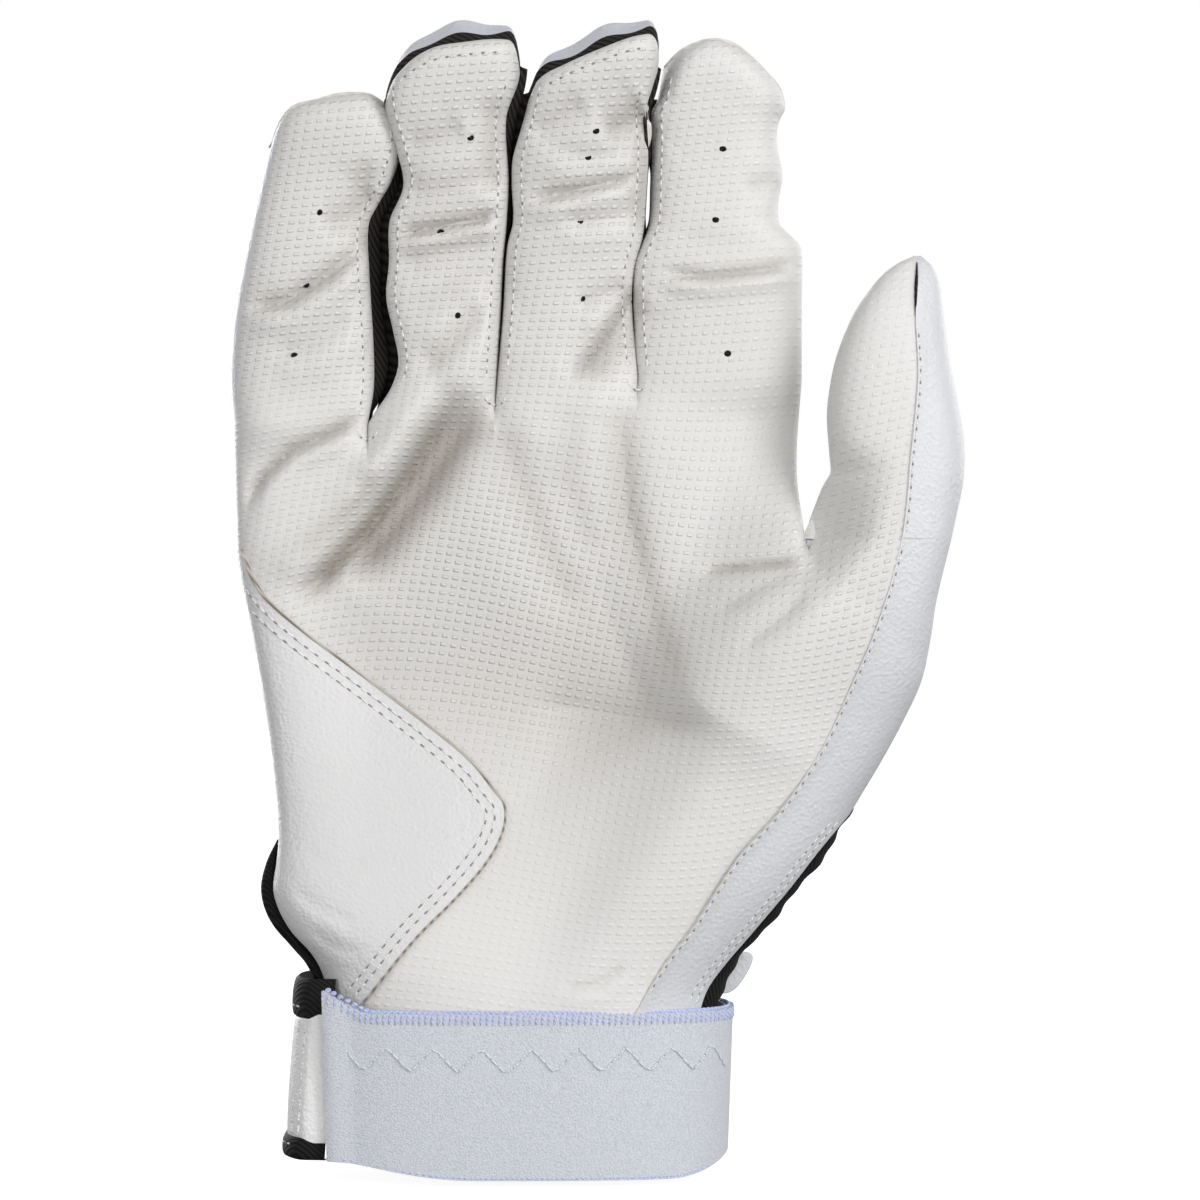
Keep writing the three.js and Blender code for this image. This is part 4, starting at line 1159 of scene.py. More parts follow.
# %% Outlines of the fingers
FINGERS = {
    # curl: how far the tip leans to the palm. strip, tip_strip: half the gap between front and back at the
    # left side, the right side and the tip. rise, cap: how far the back stands above the front at the tip,
    # and how far it bulges there. wrap: share of the left half that the front covers.
    "little": dict(
        left=curve(
            (150.5, -73.2), (156, -73.8), (163, -73.8), (172, -72.9), (184, -70.6), (199, -67), (212, -63.8),
            (216, -63),
        ),
        right=curve(
            (149.8, -46), (157, -44.9), (166, -45), (181, -45.8), (189.5, -45.8), (193.6, -43.8),
            (198, -41.2), (205, -39), (210, -39.8), (215, -41.6),
        ),
        top=curve(
            (-1, 204.5), (-0.97, 208), (-0.9, 210.6), (-0.75, 212.6), (-0.4, 214), (0.1, 215), (0.6, 215.2),
            (0.85, 213), (1, 209.5),
        ),
        curl=8, strip=(0.15, 3.6), tip_strip=0.15, rise=0.7, cap=1.0, wrap=0.9,
    ),
    "ring": dict(
        left=curve(
            (149.8, -46), (152, -44.6), (157, -41.4), (162, -40), (168, -41), (175, -42.4), (182, -41.8),
            (190, -41.6), (197, -38.8), (205, -40.4), (213, -42.4), (220, -41.6),
        ),
        right=curve(
            (156.6, -20.4), (166, -19.8), (173, -19.4), (181.4, -19), (190, -18.2), (198, -17.8),
            (210, -18.2), (218, -15.6), (226, -15.6),
        ),
        top=curve(
            (-1, 212.5), (-0.85, 218.5), (-0.4, 223.2), (0.2, 224.8), (0.8, 225.2), (0.93, 223.8), (1, 219),
        ),
        curl=15, strip=(3.6, 3.6), tip_strip=1.3, rise=2.2, cap=5.6, wrap=1.0,
    ),
    "middle": dict(
        left=curve(
            (156.6, -20.4), (173, -19), (185, -18.2), (190, -17), (197, -17.2), (202, -17), (207, -15.6),
            (212, -14.2), (217.4, -13.2), (222, -12.6),
        ),
        right=curve(
            (159.6, 8), (166, 7.4), (175, 6.8), (181, 7.4), (187.4, 9), (195, 9.6), (203, 10), (211.6, 9.6),
            (216, 10.8), (222, 12.6), (227, 12.8),
        ),
        top=curve(
            (-1, 213.5), (-0.9, 217.4), (-0.55, 220.2), (0.07, 223.6), (0.68, 226), (0.9, 225), (1, 219),
        ),
        curl=15, strip=(3.6, 3.6), tip_strip=1.3, rise=2.2, cap=5.6, wrap=1.0,
    ),
    "index": dict(
        left=curve(
            (159.6, 8), (166, 7.4), (173, 7.1), (181.4, 7.2), (185.4, 8.6), (189.6, 10.2), (198, 10.6),
            (206, 10.8), (211.6, 10.7), (214, 11.8), (218, 12.6), (222, 13.6), (226, 15.4),
        ),
        right=curve(
            (158.5, 41), (174, 41), (183, 41), (185.6, 40.6), (187.6, 38.6), (189.8, 36.6), (194, 36.2),
            (199.6, 37), (205.8, 35.9), (210, 36.2), (213.2, 37.8), (216, 38.4), (219, 38),
        ),
        top=curve((-1, 220.5), (-0.8, 223.8), (-0.35, 226.2), (0.28, 223.6), (0.75, 218.4), (1, 212.4)),
        curl=8, strip=(3.6, 0.15), tip_strip=0.15, rise=0.7, cap=1.0, wrap=1.0,
    ),
}
for number, finger in enumerate(FINGERS.values()):
    finger["base"] = SLIT_HEIGHTS[number:number + 2]
    finger["floor"] = BASE_FLOOR[number:number + 2]
print("fingers:", ", ".join(FINGERS))

# %% [markdown]
# A finger is two shells on a bent axis. Each stands off by half the knit strip plus an arch that closes at
# the sides, and another that closes at the tip. The front has the folds, and the back has short creases
# over the two joints.

# %% Surface of a finger
FINGER_DEPTH = (11.0, 8.6)
TIP_ROUND = 9.0
TIP_POWER = 2.8
TIP_FOLD = 0.4
CAP_POWER = 2.4
FLOOR_FADE = 0.25
PAST_TIP = 1.2
BACK_RISE, BACK_WAVER = 0.75, 0.25
CREASE = dict(
    places=(0.4, 0.72), step=0.034, width=0.014, depth=0.4, bow=0.02, waver=0.006, ends=(0.75, 0.35),
)


def back_creases(u, v):
    """Depth of the creases over a finger's two joints: three short bowed lines at each."""
    lines = [middle + step * CREASE["step"] for middle in CREASE["places"] for step in (-1, 0, 1)]
    bow = CREASE["bow"] * u**2 + CREASE["waver"] * np.sin(5 * u)
    depths = [np.exp(-(((v - line - bow) / CREASE["width"]) ** 2)) for line in lines]
    return CREASE["depth"] * sum(depths) * ease(np.abs(u), *CREASE["ends"])


def finger_point(finger, side, u, v, fold=True):
    """A finger's front (side -1) or back (side 1) at u across (-1 to 1) and v up (0 to 1). It stands off the
    bent axis by half its strip and two arches, one that closes at the sides and one at the tip."""
    share = (u + 1) / 2
    base = mix(*finger["base"], share)
    front_top = finger["top"](u)
    waver = BACK_RISE + BACK_WAVER * np.sin(7 * u + 1)
    top = front_top + (finger["rise"] * waver if side > 0 else 0)
    z = mix(base, top, v)
    edge_z = np.minimum(z, front_top)
    x = mix(finger["left"](edge_z), finger["right"](edge_z), share)
    up = np.clip((z - base) / (finger["top"](0) - base), 0, PAST_TIP)
    near_tip = np.clip((z - top + TIP_ROUND) / TIP_ROUND, 0, 1)
    depth = mix(*FINGER_DEPTH, np.clip(up, 0, 1))
    strip = mix(mix(*finger["strip"], share), finger["tip_strip"], near_tip)
    floor = mix(mix(*finger["floor"], share) * depth, strip, ease(up, 0, FLOOR_FADE))
    stand = floor + (depth - floor) * arch(u, FINGER_POWER) * arch(near_tip, TIP_POWER)
    y = KNUCKLE_Y - finger["curl"] * up**2 + side * stand
    if side < 0 and fold:
        y = y - folded(x, z)[0] * mix(1, TIP_FOLD, near_tip) * arch(u, HOLD_POWER)
    if side > 0:
        y = y - back_creases(u, v)
        z = z + finger["cap"] * np.sin(math.pi * near_tip**2) * arch(u, CAP_POWER)
    return xyz(x, y, z)


print("finger depth at base and tip in mm:", FINGER_DEPTH)

# %% Finger leather
FINGER_ROWS = 130
WRAP_FROM = 0.05
WRAP_GAP, WRAP_DROP = 0.03, 0.35
u = ACROSS[None]
v = np.linspace(0, 1, FINGER_ROWS)[:, None]
for name, finger in FINGERS.items():
    body = name + "_finger"
    covered = mix(u, mix(-finger["wrap"], 1, (u + 1) / 2), ease(v, 0, WRAP_FROM))
    front = finger_point(finger, -1, covered, v)
    piece = pressed_sheet(name + "_front_leather", front, pale_edge, outward=TO_FRONT)
    dress(piece, name + "_front", body)
    rear = finger_point(finger, 1, u, v)
    if finger["wrap"] < 1:
        wrap_u = np.linspace(-finger["wrap"] + WRAP_GAP, -1, 8)[None]
        wrap = finger_point(finger, -1, wrap_u, v, fold=False) + WRAP_DROP * TO_BACK
        rear = np.concatenate([wrap[:, :-1], rear], axis=1)
    piece = sheet(name + "_back_leather", rear, LEATHER, shaded_back_skin, edge=pale_edge, outward=TO_BACK)
    dress(piece, name + "_back", body)
print("finger leather:", FINGER_ROWS * len(ACROSS), "points a side")

# %% [markdown]
# The strips between front and back are knit. They run up the side of a finger; on the ring and middle
# fingers they go on over the tip as a black band and down the other side. Each strip swells until it meets
# the next finger's strip, except high between the middle and index fingers, where daylight shows.

# %% Knit side strips
KNIT = 0.7
KNIT_LAP = 0.25
KNIT_INSET, INSET_EDGE = 0.45, 0.15
KNIT_FOOT = 0.08
TIP_SWELL = 0.25
LUMP_LEFT, LUMP_RIGHT, LUMP_WIDTH = 0.72, 0.28, 0.2
SLIT_OPENS = (187, 191)
SLIT_CLOSES = (203, 199)
SLIT_THIN = 0.8
SIDE_STEPS, TIP_STEPS = 60, 40
FREE_END = 6


def strip_path(finger):
    """(u, v) along the seam: up the left side, over the tip and down the right, as far as the knit goes."""
    sides = np.linspace(0, 1, SIDE_STEPS)
    left = np.stack([np.full(SIDE_STEPS, -1.0), sides], -1)
    over = np.stack([crowded(TIP_STEPS)[1:-1], np.ones(TIP_STEPS - 2)], -1)
    right = np.stack([np.full(SIDE_STEPS, 1.0), sides[::-1]], -1)
    if finger["strip"][0] < 1:
        return right[FREE_END:]
    if finger["strip"][1] < 1:
        return left[:-FREE_END]
    return np.concatenate([left, over, right])


def half_gap(slit, z):
    """Half the width of a slit in the front view, at the heights z, with a lap. The outer sides have none."""
    if not 0 < slit < len(FINGERS):
        return 0 * z
    order = list(FINGERS.values())
    return np.maximum(order[slit]["left"](z) - order[slit - 1]["right"](z), 0) / 2 + KNIT_LAP


across = np.linspace(0, 1, 15)[:, None]
inset = KNIT_INSET * ease(across, 0, INSET_EDGE) * ease(across, 1, 1 - INSET_EDGE)
for number, (name, finger) in enumerate(FINGERS.items()):
    u, v = strip_path(finger).T
    front = finger_point(finger, -1, u, v)
    knit = mix(front, finger_point(finger, 1, u, v), across[..., None])
    height = front[:, 2]
    thin = 1 - SLIT_THIN * ease(height, *SLIT_OPENS) * ease(height, *SLIT_CLOSES)
    for way, slit, lump, thin_finger in (
        (-1, number, LUMP_LEFT, "index"),
        (1, number + 1, LUMP_RIGHT, "middle"),
    ):
        puff = half_gap(slit, height) * ease(v, 0, KNIT_FOOT) * (thin if name == thin_finger else 1)
        swell = mix(-inset, puff, np.exp(-(((across - lump) / LUMP_WIDTH) ** 2)))
        knit[..., 0] += np.where(u == way, way * swell, 0)
    over_tip = np.abs(u) < 1
    knit[..., 2] += np.where(over_tip, TIP_SWELL * np.sin(math.pi * across), 0)
    away = xyz(np.where(over_tip, 0, u), 0, np.where(over_tip, 1, 0))
    piece = sheet(name + "_knit_strip", knit, KNIT, side_knit, outward=away)
    dress(piece, name + "_fourchette", name + "_finger")
print("knit strips:", len(FINGERS))

# %% [markdown]
# ## The thumb
# The thumb is a tube whose section is a superellipse. Two seams, one in front and one behind, part it into
# pressed leather on the pad side and smooth leather on the nail side. At its foot it takes on the section of
# the hand, so that the leather runs on.

# %% Surface of the thumb
THUMB_TOP = 181.8
THUMB_POWER = 2.8
THUMB_BLEND = 20.0
SEAM_LIMITS = (0.1, 0.9)
thumb_left = curve(
    (CROTCH_Z, CROTCH_X), (130, 41.8), (133.4, 43), (137.4, 44.6), (139.4, 45.8), (142, 45.7), (149.6, 45.1),
    (154, 45.3), (162, 46.8), (170, 49.9), (174, 52.4), (178, 55.6), (180.4, 58.8), (THUMB_TOP, 61.8),
)
thumb_right = curve(
    (CROTCH_Z, 69.4), (131, 70.4), (138, 71.8), (146, 71.9), (154, 70.6), (162, 69), (170, 67.8), (176, 67),
    (179.6, 65.6), (THUMB_TOP, 63.4),
)
thumb_thick = curve(
    (CROTCH_Z, 12.3), (145, 12), (160, 10.4), (170, 8.2), (176.4, 5.4), (180.4, 2.8), (THUMB_TOP, 0.8),
)
thumb_axis = curve((CROTCH_Z, -14), (150, -14.5), (THUMB_TOP, -18))


def thumb_point(side, share, z):
    """A point of the thumb's front (side -1) or back (side 1): a superellipse about the thumb's axis,
    which near the base turns into the hand's own section at the crotch."""
    base_x = mix(CROTCH_X, thumb_edge(CROTCH_Z), share)
    base_z = np.full(np.shape(base_x), CROTCH_Z)
    base_y = hand_y(side, base_x, base_z)
    if side < 0:
        base_y = base_y - ball_rise(base_x, base_z)
    own_y = thumb_axis(z) + side * thumb_thick(z) * arch(2 * share - 1, THUMB_POWER)
    y = mix(base_y, own_y, ease(z, CROTCH_Z, CROTCH_Z + THUMB_BLEND))
    return xyz(mix(thumb_left(z), thumb_right(z), share), y, z)


def seam_share(z):
    """Place of the front seam across the thumb, as a share of its width."""
    return np.clip((thumb_seam(z) - thumb_left(z)) / (thumb_right(z) - thumb_left(z)), *SEAM_LIMITS)


print("seam at the thumb's foot:", np.round(seam_share(CROTCH_Z), 2))

# %% Thumb leather
REAR_SEAM = 0.6
LIP_ENDS = (181, 174)
z = mix(CROTCH_Z, THUMB_TOP, to_end(110))[:, None]
pad_front = thumb_point(-1, seam_share(z) * ball_share[None, ::-1], z)
pad_rear = thumb_point(1, REAR_SEAM * ball_share[None, 1:], z)
pad = np.concatenate([pad_front, pad_rear], axis=1)
pad_lay = flow(pad[..., 0], pad[..., 2])
turn_over = pad_lay[:, THUMB_COLUMNS - 1:THUMB_COLUMNS, 0]
pad_lay[:, THUMB_COLUMNS:, 0] = 2 * turn_over - pad_lay[:, THUMB_COLUMNS:, 0]
piece = pressed_sheet("thumb_pad_leather", pad, raw_edge, pad_lay)
dress(piece, "thumb_front", "thumb")
nail_front = thumb_point(-1, mix(seam_share(z), 1, strip_share[None]), z)
nail_front[..., 1] -= seam_lip(nail_front[..., 0], z) * ease(z, *LIP_ENDS)
nail_rear = thumb_point(1, mix(REAR_SEAM, 1, strip_share[None, -2::-1]), z)
nail = np.concatenate([nail_front, nail_rear], axis=1)
piece = sheet("thumb_nail_leather", nail, LEATHER, smooth_skin, edge=pale_edge)
dress(piece, "thumb_back", "thumb")
print("thumb:", pad.shape, nail.shape)

# %% [markdown]
# The strip's seam goes on up the thumb. Near the tip the stitches are out of sight and the seam gapes a
# little, as a dark line that is widest in its middle: a black tube on the leather, painted shade of the gap.

# %% Thumb seam
SEAM_SEWN_TO = 168.0
SEAM_GAPES = (169.0, 180.4)
GAPE = 0.34
GAPE_PROUD = 0.3
z = np.linspace(CROTCH_Z + 0.8, SEAM_SEWN_TO, 160)
sew("thumb_seam", [thumb_point(-1, seam_share(z) + 0.02, z) + LIP_HEIGHT * TO_FRONT], "thumb", **SEAM_SEWN)
z = np.linspace(*SEAM_GAPES, 60)
gape_line = thumb_point(-1, seam_share(z), z) + GAPE_PROUD * TO_FRONT
gape = GAPE * np.sin(np.linspace(0.1, math.pi - 0.3, len(z)))
# A black tube laid on the seam, as painted shade inside the gap.
piece = tube("thumb_tip_open_seam", gape_line, TO_FRONT, TO_THUMB, gape, gape, side_knit, around=8)
dress(piece, body="thumb")
print("open seam in mm:", np.round(run_length(gape_line)[-1], 1))

# %% [markdown]
# ## The cuff
# The cuff is a band of loop elastic round the wrist. Seen from above it is a superellipse, and angles run
# from the front over the thumb side. Every piece of the cuff is a sheet between two angles, two heights and
# two offsets, so one function makes them all.

# %% Sheets of the cuff
CUFF_CENTRE = -16.8
CUFF_HALF = (42.0, 20.0)
CUFF_POWER = 2.7
PUFF_POWERS = (2.4, 4)


def cuff_point(angle, off, z):
    """A point round the cuff at an angle in degrees, off millimetres outside its inner face, at height z."""
    turn = np.radians(angle)
    x = CUFF_CENTRE + (CUFF_HALF[0] + off) * rounded(np.sin(turn), CUFF_POWER)
    y = -(CUFF_HALF[1] + off) * rounded(np.cos(turn), CUFF_POWER)
    return xyz(x, y, z)


def cuff_sheet(
    name, low, high, angles, inside, outside, material, node, slot, body="hand", puff=0.0, rows=24,
    lean=(0.0, 0.0),
):
    """A sheet of the cuff's ring between two heights and two offsets, puffed out in the middle.
    lean moves it out by two lengths, one at the hem and one at the cuff's top."""
    share = np.linspace(0, 1, rows)[:, None]
    spread = np.linspace(0, 1, len(angles))[None]
    z = mix(low, high, share)
    swell = puff * arch(2 * share - 1, PUFF_POWERS[0]) * arch(2 * spread - 1, PUFF_POWERS[1])
    outer = cuff_point(angles[None], outside - puff + swell + mix(*lean, z / CUFF_HEIGHT), z)
    outward = outer - CUFF_CENTRE * TO_THUMB
    outward[..., 2] = 0
    thickness = np.broadcast_to(outside - inside - puff, angles.shape)[:, None]
    piece = sheet(name, outer, thickness, material, outward=outward)
    dress(piece, node, body)


print("cuff in mm:", 2 * CUFF_HALF[0], "by", 2 * CUFF_HALF[1])

# %% [markdown]
# The front band laps over the tab at its left end and is lifted there, and its hem is cut away at the thumb
# side. Two shorter bands close the ring behind, parted by the slit.

# %% Cuff bands
WEBBING = 1.8
BACK_WEBBING = 1.4
BAND_FROM, BAND_TO = -51.0, 108.0
TAB_END = -128.0
HEM = 0.8
HEM_CORNER = 4.5
HEM_LIFT = 3.2
LEFT_CORNER = 3.4
TOP_LIFT = 4.4
LAP = 1.3
BAND_LEAN = (-1.2, 0.0)
band_angles = np.linspace(BAND_FROM, BAND_TO, 150)
band_lap = LAP * ease(band_angles, BAND_FROM + 12, BAND_FROM + 2)
band_top = CUFF_HEIGHT + TOP_LIFT * ease(band_angles, BAND_FROM + 18, BAND_FROM - 3)
band_hem = HEM + HEM_LIFT * ease(band_angles, -4, BAND_FROM + 2) + HEM_CORNER * ease(band_angles, 40, 92)
cuff_sheet(
    "cuff_elastic", band_hem[None], band_top[None], band_angles, band_lap, WEBBING + band_lap, loop_pile,
    "cuff_band", "elastic", lean=BAND_LEAN,
)
right_angles = np.linspace(BAND_TO + 0.6, 167, 50)
right_hem = HEM + HEM_CORNER * ease(right_angles, 135, BAND_TO - 4)
left_angles = np.linspace(175, TAB_END + 359.4, 50)
left_hem = HEM + LEFT_CORNER * ease(left_angles, 190, 222)
for name, hem, angles, node in (
    ("cuff_back_right", right_hem, right_angles, "cuff_back_thumb_side"),
    ("cuff_back_left", left_hem, left_angles, "cuff_back_little_side"),
):
    cuff_sheet(name, hem[None], CUFF_HEIGHT, angles, 0, BACK_WEBBING, loop_pile, node, "elastic")
print("cuff bands: 3, webbing", WEBBING, "mm")

# %% [markdown]
# The top edge of the band is overlocked with lilac thread: slanted loops over the edge, and a chain that
# lies on it. The hem has a single row.

# %% Overlocked edges
LOOP_PITCH = 1.2
HEM_PITCH = 1.4


def edge_loops(name, angles, z, off, length, lean, size):
    """Overlock thread: loops side by side along an edge, each run up by a length and on by a lean."""
    ahead = unit(cuff_point(angles + 0.5, off, z) - cuff_point(angles - 0.5, off, z))
    run = UP * length + ahead * lean
    piece = beads(name, cuff_point(angles, off, z), run, np.cross(ahead, UP), size, lilac_thread)
    dress(piece)


def even_angles(first, last, off, pitch):
    """Angles whose points lie at an even pitch along the cuff."""
    fine = np.linspace(first, last, 2000)
    length = run_length(cuff_point(fine, off, 0.0))
    return np.interp(np.arange(0, length[-1], pitch), length, fine)


top_angles = even_angles(BAND_FROM + 0.4, BAND_TO - 1, WEBBING, LOOP_PITCH)
top_z = np.interp(top_angles, band_angles, band_top)
top_lap = np.interp(top_angles, band_angles, band_lap)
edge_loops("cuff_top_overlock", top_angles, top_z - 0.9, WEBBING + top_lap, 1.0, 0.12, (1.3, 0.3, 0.28))
chain_off = WEBBING / 2 + top_lap
edge_loops("cuff_top_chain", top_angles + 0.8, top_z + 0.25, chain_off, 0.05, 1.0, (0.75, 0.5, 0.3))
low_angles = even_angles(BAND_FROM + 0.4, 84, WEBBING, HEM_PITCH)
low_z = np.interp(low_angles, band_angles, band_hem) + 0.5
low_off = WEBBING - 0.1 + BAND_LEAN[0] + np.interp(low_angles, band_angles, band_lap)
edge_loops("cuff_low_edge", low_angles, low_z, low_off, 0.05, 1.0, (0.8, 0.3, 0.28))
print("overlock loops:", len(top_angles))

# %% [markdown]
# A zigzag of white thread holds the elastic to the lining. Its peaks are 9.4 mm apart and 5 mm high.

# %% Zigzag on the cuff
ZIGZAG_PERIOD = 9.4
ZIGZAG_LOW, ZIGZAG_HIGH = 22.0, 27.0
corners = even_angles(-44, 74, WEBBING, ZIGZAG_PERIOD / 2)
step = np.linspace(0, len(corners) - 1, 60 * len(corners))
zig_angles = np.interp(step, np.arange(len(corners)), corners)
zig_path = cuff_point(zig_angles, WEBBING - 0.05, mix(ZIGZAG_LOW, ZIGZAG_HIGH, np.abs(step % 2 - 1)))
sew("cuff_zigzag", [zig_path], pitch=1.9, size=(0.95, 0.2, 0.16), thread=lilac_white, hole=(0.14, 0.1, 0.04))

# %% [markdown]
# At the little-finger side a white leather tab wraps the end of the band, with black binding over its
# top and bottom. The closure strap goes on from it across the back, and hooks under its end hold to a
# loop patch.

# %% Tab, strap and bindings
STRAP_LOW, STRAP_HIGH = 8.0, 32.0
EDGE_LOW, EDGE_HIGH = 4.0, 39.6
TAB_THICK = 3.8
TAB_LEAN = (0.3, -2.0)
STRAP_IN = TAB_THICK + 0.3
STRAP_THICK = 1.6
STRAP_TUCK = 1.8
PATCH_HEIGHTS = (11, 29)
tab_angles = np.linspace(TAB_END, BAND_FROM + 1.2, 70)
tab_off = mix(TAB_THICK, LAP - 0.2, ease(tab_angles, BAND_FROM - 12, BAND_FROM - 1))
cap_angles = np.linspace(TAB_END, BAND_FROM - 4.5, 70)
cap_off = mix(TAB_THICK + 0.5, LAP + 0.4, ease(cap_angles, BAND_FROM - 14, BAND_FROM - 4))
cuff_sheet(
    "tab_leather", STRAP_LOW - 0.6, STRAP_HIGH + 0.6, tab_angles, 0, tab_off, tab_skin,
    "strap_tab", "smooth_leather", puff=0.7, lean=TAB_LEAN,
)
for part, low, high in (("top", STRAP_HIGH - 0.4, EDGE_HIGH), ("low", EDGE_LOW, STRAP_LOW + 0.4)):
    node = "tab_upper_binding" if part == "top" else "tab_lower_binding"
    cuff_sheet(
        "tab_" + part + "_binding", low, high, cap_angles, 0, cap_off, black_tape, node, "knit",
        puff=1.0, rows=16, lean=TAB_LEAN,
    )
strap_angles = np.linspace(118, 237, 90)
strap_in = STRAP_IN - STRAP_TUCK * ease(strap_angles, 128, 118)
strap_out = strap_in + STRAP_THICK
cuff_sheet(
    "strap_leather", STRAP_LOW, STRAP_HIGH, strap_angles, strap_in, strap_out, smooth_skin,
    "closure_strap", "smooth_leather", "strap", puff=0.5,
)
for part, low, high in (("top", STRAP_HIGH, EDGE_HIGH), ("low", EDGE_LOW, STRAP_LOW)):
    node = "strap_upper_binding" if part == "top" else "strap_lower_binding"
    cuff_sheet(
        "strap_" + part + "_binding", low, high, strap_angles, strap_in, strap_out + 0.2, black_tape,
        node, "knit", "strap", puff=0.8, rows=14,
    )
hook_angles = np.linspace(124, 156, 24)
cuff_sheet("hook_side", *PATCH_HEIGHTS, hook_angles, 2.9, 3.8, hook_tape, "hook_patch", "hook_tape", "strap")
cuff_sheet("loop_side", *PATCH_HEIGHTS, hook_angles, 1.7, 2.6, loop_pile, "loop_patch", "elastic")
print("strap from", strap_angles[0], "to", strap_angles[-1], "degrees")

# %% [markdown]
# Two upright rows of heavy stitches hold the tab to the band, and a short row crosses each binding.

# %% Stitches of the tab
TAB_ROWS = (-73.0, -66.0)
CAP_ROWS = (6.9, 34.0)


def tab_point(angle, off, z):
    """A point on the leaning tab, off millimetres outside its face."""
    return cuff_point(angle, TAB_THICK + off + mix(*TAB_LEAN, z / CUFF_HEIGHT), z)


z = np.linspace(STRAP_LOW + 0.5, STRAP_HIGH - 0.5, 60)
tab_rows = [tab_point(angle, -0.1, z) for angle in TAB_ROWS]
sew("tab", tab_rows, out=(-0.7, -0.7, 0), pitch=2.4, size=(1.1, 0.3, 0.24), hole=(0.16, 0.12, 0.05))
angles = np.linspace(-84, -68, 30)
cap_rows = [tab_point(angles, 0.45, z) for z in CAP_ROWS]
sew("cap", cap_rows, out=(-0.8, -0.6, 0), size=(0.8, 0.26, 0.22))

# %% [markdown]
# Small pieces at the wrist: the black binding that bulges from the lower left edge, the binding round the
# slit in the back, and a white rounded tab on the thumb side.

# %% Binding on the wrist's edge
BINDING_LOW, BINDING_HIGH = 38.5, 66.4
BINDING_DEEPER = 1.2
binding_x = curve(
    (BINDING_LOW, -55.2), (42, -57.2), (45, -59.8), (49.4, -63.2), (53, -65), (57, -65.8), (62, -65.2),
    (BINDING_HIGH, -64),
)
binding_half = curve((BINDING_LOW, 1.5), (45, 1.5), (49.4, 1.9), (57, 1.7), (62, 1.2), (BINDING_HIGH, 0.3))
z = np.linspace(BINDING_LOW, BINDING_HIGH, 60)
half = binding_half(z)
deep = half + BINDING_DEEPER
line = xyz(binding_x(z), palm_middle(z) + 0.2, z)
piece = tube("wrist_edge_binding", line, TO_BACK, TO_THUMB, half, deep, black_tape, power=2.4)
dress(piece, "wrist_binding")
print("wrist binding in mm:", np.round(run_length(line)[-1], 1))

# %% Binding round the slit
SLIT_FOOT = 33.8
SLIT_BORDER = 2.6
BORDER_LIFT, BORDER_ROUND = 0.35, 0.75
SIDE_POINTS = 60
rise = np.linspace(SLIT_FOOT, SLIT_TOP, SIDE_POINTS)
half_slit = SLIT_WIDTH / 2 + 0.6
u_turn = np.linspace(0, math.pi, 24)[1:-1]
away_x = np.r_[np.full(SIDE_POINTS, -1.0), -np.cos(u_turn), np.full(SIDE_POINTS, 1.0)]
away_z = np.r_[np.zeros(SIDE_POINTS), np.sin(u_turn), np.zeros(SIDE_POINTS)]
line_z = np.r_[rise, np.full(len(u_turn), SLIT_TOP), rise[::-1]]
border = np.linspace(0, SLIT_BORDER, 8)[:, None]
x = SLIT_X + away_x * (half_slit + border)
z = line_z + away_z * (half_slit + border)
lift = BORDER_LIFT + BORDER_ROUND * arch(2 * border / SLIT_BORDER - 1, 2.2)
piece = sheet("slit_edge_binding", xyz(x, hand_y(1, x, z) + lift, z), 0.8, black_tape, outward=TO_BACK)
dress(piece, "slit_binding")
print("slit binding:", x.shape)

# %% Pull tab
PULL_REACH, PULL_HEIGHT = 3.6, 8.5
PULL_Z = 39.8
PULL_ROOT = 1.5
PULL_Y, PULL_DOME = 0.6, 0.7
up = np.linspace(-1, 1, 40)[:, None]
share = np.linspace(0, 1, 20)[None]
z = PULL_Z + PULL_HEIGHT / 2 * up
x = thumb_edge(z) - PULL_ROOT + (PULL_REACH * arch(up, 2.2) + PULL_ROOT) * share
pull = xyz(x, PULL_Y - PULL_DOME * arch(share, 3), z)
piece = sheet("wrist_pull_tab", pull, 1.4, smooth_skin, edge=pale_edge, outward=TO_FRONT)
dress(piece, "pull_tab")
print("pull tab:", pull.shape)

# %% [markdown]
# Finger seams are sewn 2 mm inside the leather's edge, and the fronts are punched with small air holes. A
# hole is drawn as a flat black bead on the leather: painted shade of its inside, where nothing else shows.

# %% Finger stitches and air holes
SEAM_INSET = 2.0
TIP_INSET = 3.2
SEAM_FROM, SEAM_TO = 1.0, 7.0
FINGER_SEWN = dict(pitch=2.2, size=(0.8, 0.22, 0.16))
AIR_HOLE = (0.75, 0.7, 0.12)
AIR_HOLES = {
    "little": [(-55.4, 191.4), (-58.2, 177.2), (-60.4, 163)],
    "ring": [(-25.2, 205.8), (-31.2, 187.4), (-28, 171)],
    "middle": [(-0.4, 207), (-2, 202), (-3.6, 189.6), (-3.2, 174.4)],
    "index": [(24.8, 204), (23.4, 190), (25.8, 163.4)],
}


def finger_at(finger, side, x, z):
    """The finger's front (side -1) or back (side 1) at a point (x, z) of the front view."""
    share = (x - finger["left"](z)) / (finger["right"](z) - finger["left"](z))
    u = 2 * share - 1
    base = mix(*finger["base"], share)
    return finger_point(finger, side, u, (z - base) / (finger["top"](u) - base))


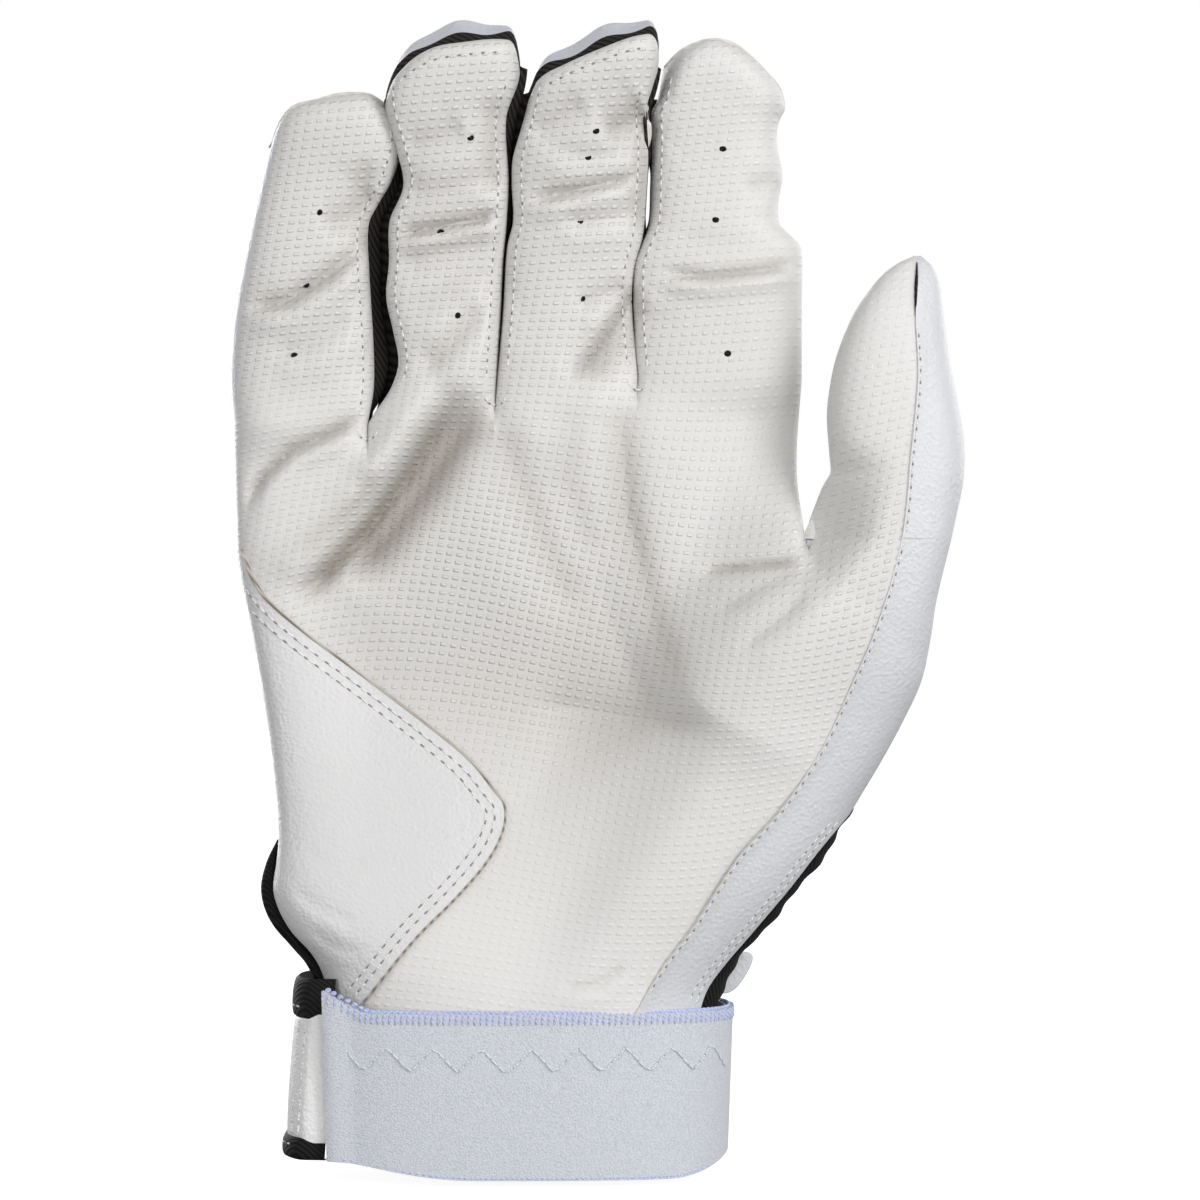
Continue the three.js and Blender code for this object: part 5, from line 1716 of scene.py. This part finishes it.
for name, finger in FINGERS.items():
    body = name + "_finger"
    z = np.linspace(max(finger["base"]) + SEAM_FROM, finger["top"](0) - SEAM_TO, 160)
    lines = []
    if finger["strip"][1] > 1:
        lines.append(finger["right"](z) - SEAM_INSET)
    if finger["strip"][0] > 1:
        lines.append(finger["left"](z) + SEAM_INSET)
    rows = [finger_at(finger, -1, x, z) for x in lines]
    if finger["tip_strip"] > 1:
        u = np.linspace(-0.8, 0.8, 80)
        base = mix(*finger["base"], (u + 1) / 2)
        top = finger["top"](u)
        rows.append(finger_point(finger, -1, u, (top - TIP_INSET - base) / (top - base)))
    sew(name + "_seam", rows, body, **FINGER_SEWN)
    sew(name + "_back_seam", [finger_at(finger, 1, x, z) for x in lines], body, TO_BACK, **FINGER_SEWN)
    centres = finger_at(finger, -1, *np.array(AIR_HOLES[name]).T)
    # Flat black beads of painted shade, for the insides of the holes.
    piece = beads(name + "_air_holes", centres, TO_THUMB, TO_FRONT, AIR_HOLE, black_tape)
    dress(piece, body=body)
print("air holes:", sum(map(len, AIR_HOLES.values())))

# %% [markdown]
# ## Light and camera
# The photograph is level with the middle of the glove, on white. A soft lamp stands up on the right, weaker
# ones fill from the left, the right and low in front, two light the back, and the world gives the rest.
# Floor and world are white to the camera.

# %% World and floor
AMBIENT = 0.3
FLOOR_GREY = (0.3, 0.3, 0.3, 1)
FLOOR_GLOW = 0.92
FLOOR_HALF = 3.0
FLOOR_Z = -0.0005
white_world = bpy.data.worlds.new("studio white")
white_world.use_nodes = True
bpy.context.scene.world = white_world
tree = white_world.node_tree
background = tree.nodes["Background"]
rays = add_node(tree, "ShaderNodeLightPath").outputs
seen = rays["Is Camera Ray"]
for kind in ("Is Glossy Ray", "Is Transmission Ray"):
    seen = add_node(tree, "ShaderNodeMath", {0: seen, 1: rays[kind]}, operation="MAXIMUM").outputs[0]
strength = add_node(tree, "ShaderNodeMapRange", {"Value": seen, "To Min": AMBIENT, "To Max": 1.0})
background.inputs["Color"].default_value = (1, 1, 1, 1)
tree.links.new(strength.outputs["Result"], background.inputs["Strength"])

# Matt white paper that looks nearly as bright as the world, and keeps the glove's shadow.
floor_material, tree, shader = start_material("white studio floor", roughness=0.9)
shader.inputs["Base Color"].default_value = FLOOR_GREY
rays = add_node(tree, "ShaderNodeLightPath").outputs
glow = add_node(tree, "ShaderNodeEmission", {"Strength": FLOOR_GLOW})
lit = add_node(tree, "ShaderNodeAddShader", {0: glow.outputs[0], 1: shader.outputs[0]})
shown = add_node(
    tree, "ShaderNodeMixShader", {0: rays["Is Camera Ray"], 1: shader.outputs[0], 2: lit.outputs[0]},
)
tree.links.new(shown.outputs[0], tree.nodes["Material Output"].inputs["Surface"])
floor_mesh = bpy.data.meshes.new("floor")
corners = FLOOR_HALF * np.array([(-1, -1), (1, -1), (1, 1), (-1, 1)])
floor_mesh.from_pydata(xyz(*corners.T, FLOOR_Z), [], [(0, 1, 2, 3)])
floor_mesh.materials.append(floor_material)
floor = bpy.data.objects.new("floor", floor_mesh)
bpy.context.scene.collection.objects.link(floor)
print("floor in m:", 2 * FLOOR_HALF)

# %% Lamps
AIM = np.array([0, 0, 0.12])
LAMPS = [
    # name, place in metres, size in metres, power in watts
    ("key", (0.65, -0.85, 0.58), 0.35, 5.3),
    ("left_fill", (-0.85, -0.95, 0.3), 0.7, 3.4),
    ("back_left", (-0.6, 1.2, 0.3), 0.7, 9.0),
    ("back_right", (0.8, 0.9, 0.4), 0.6, 3.0),
    ("low_fill", (0.12, -1.25, 0.06), 0.8, 8.4),
    ("right_fill", (0.95, -0.75, 0.04), 0.6, 4.0),
]
for name, spot, size, power in LAMPS:
    data = bpy.data.lights.new(name, "AREA")
    data.size = size
    data.energy = power
    lamp = bpy.data.objects.new(name, data)
    lamp.location = spot
    x, y, z = AIM - np.array(spot)
    lamp.rotation_euler = (math.pi / 2 + math.atan2(z, math.hypot(x, y)), 0, math.atan2(y, x) - math.pi / 2)
    bpy.context.scene.collection.objects.link(lamp)
print("lamps:", len(LAMPS))

# %% [markdown]
# The camera looks level along +Y. Its distance shows in the curve of the cuff's edges; its field is 240 mm
# across at the glove.

# %% Camera
CAMERA_DISTANCE = 0.9
FIELD = 0.24
SENSOR = 36.0
PICTURE_CENTRE = (0.4, 0.0, 114.4)
camera_data = bpy.data.cameras.new("camera")
camera_data.sensor_width = SENSOR
camera_data.lens = SENSOR * CAMERA_DISTANCE / FIELD
camera = bpy.data.objects.new("camera", camera_data)
camera.location = place(PICTURE_CENTRE) + CAMERA_DISTANCE * TO_FRONT
camera.rotation_euler = (math.pi / 2, 0, 0)
bpy.context.scene.collection.objects.link(camera)
bpy.context.scene.camera = camera
bpy.context.scene.view_settings.view_transform = "Standard"
print("lens in mm:", camera_data.lens)
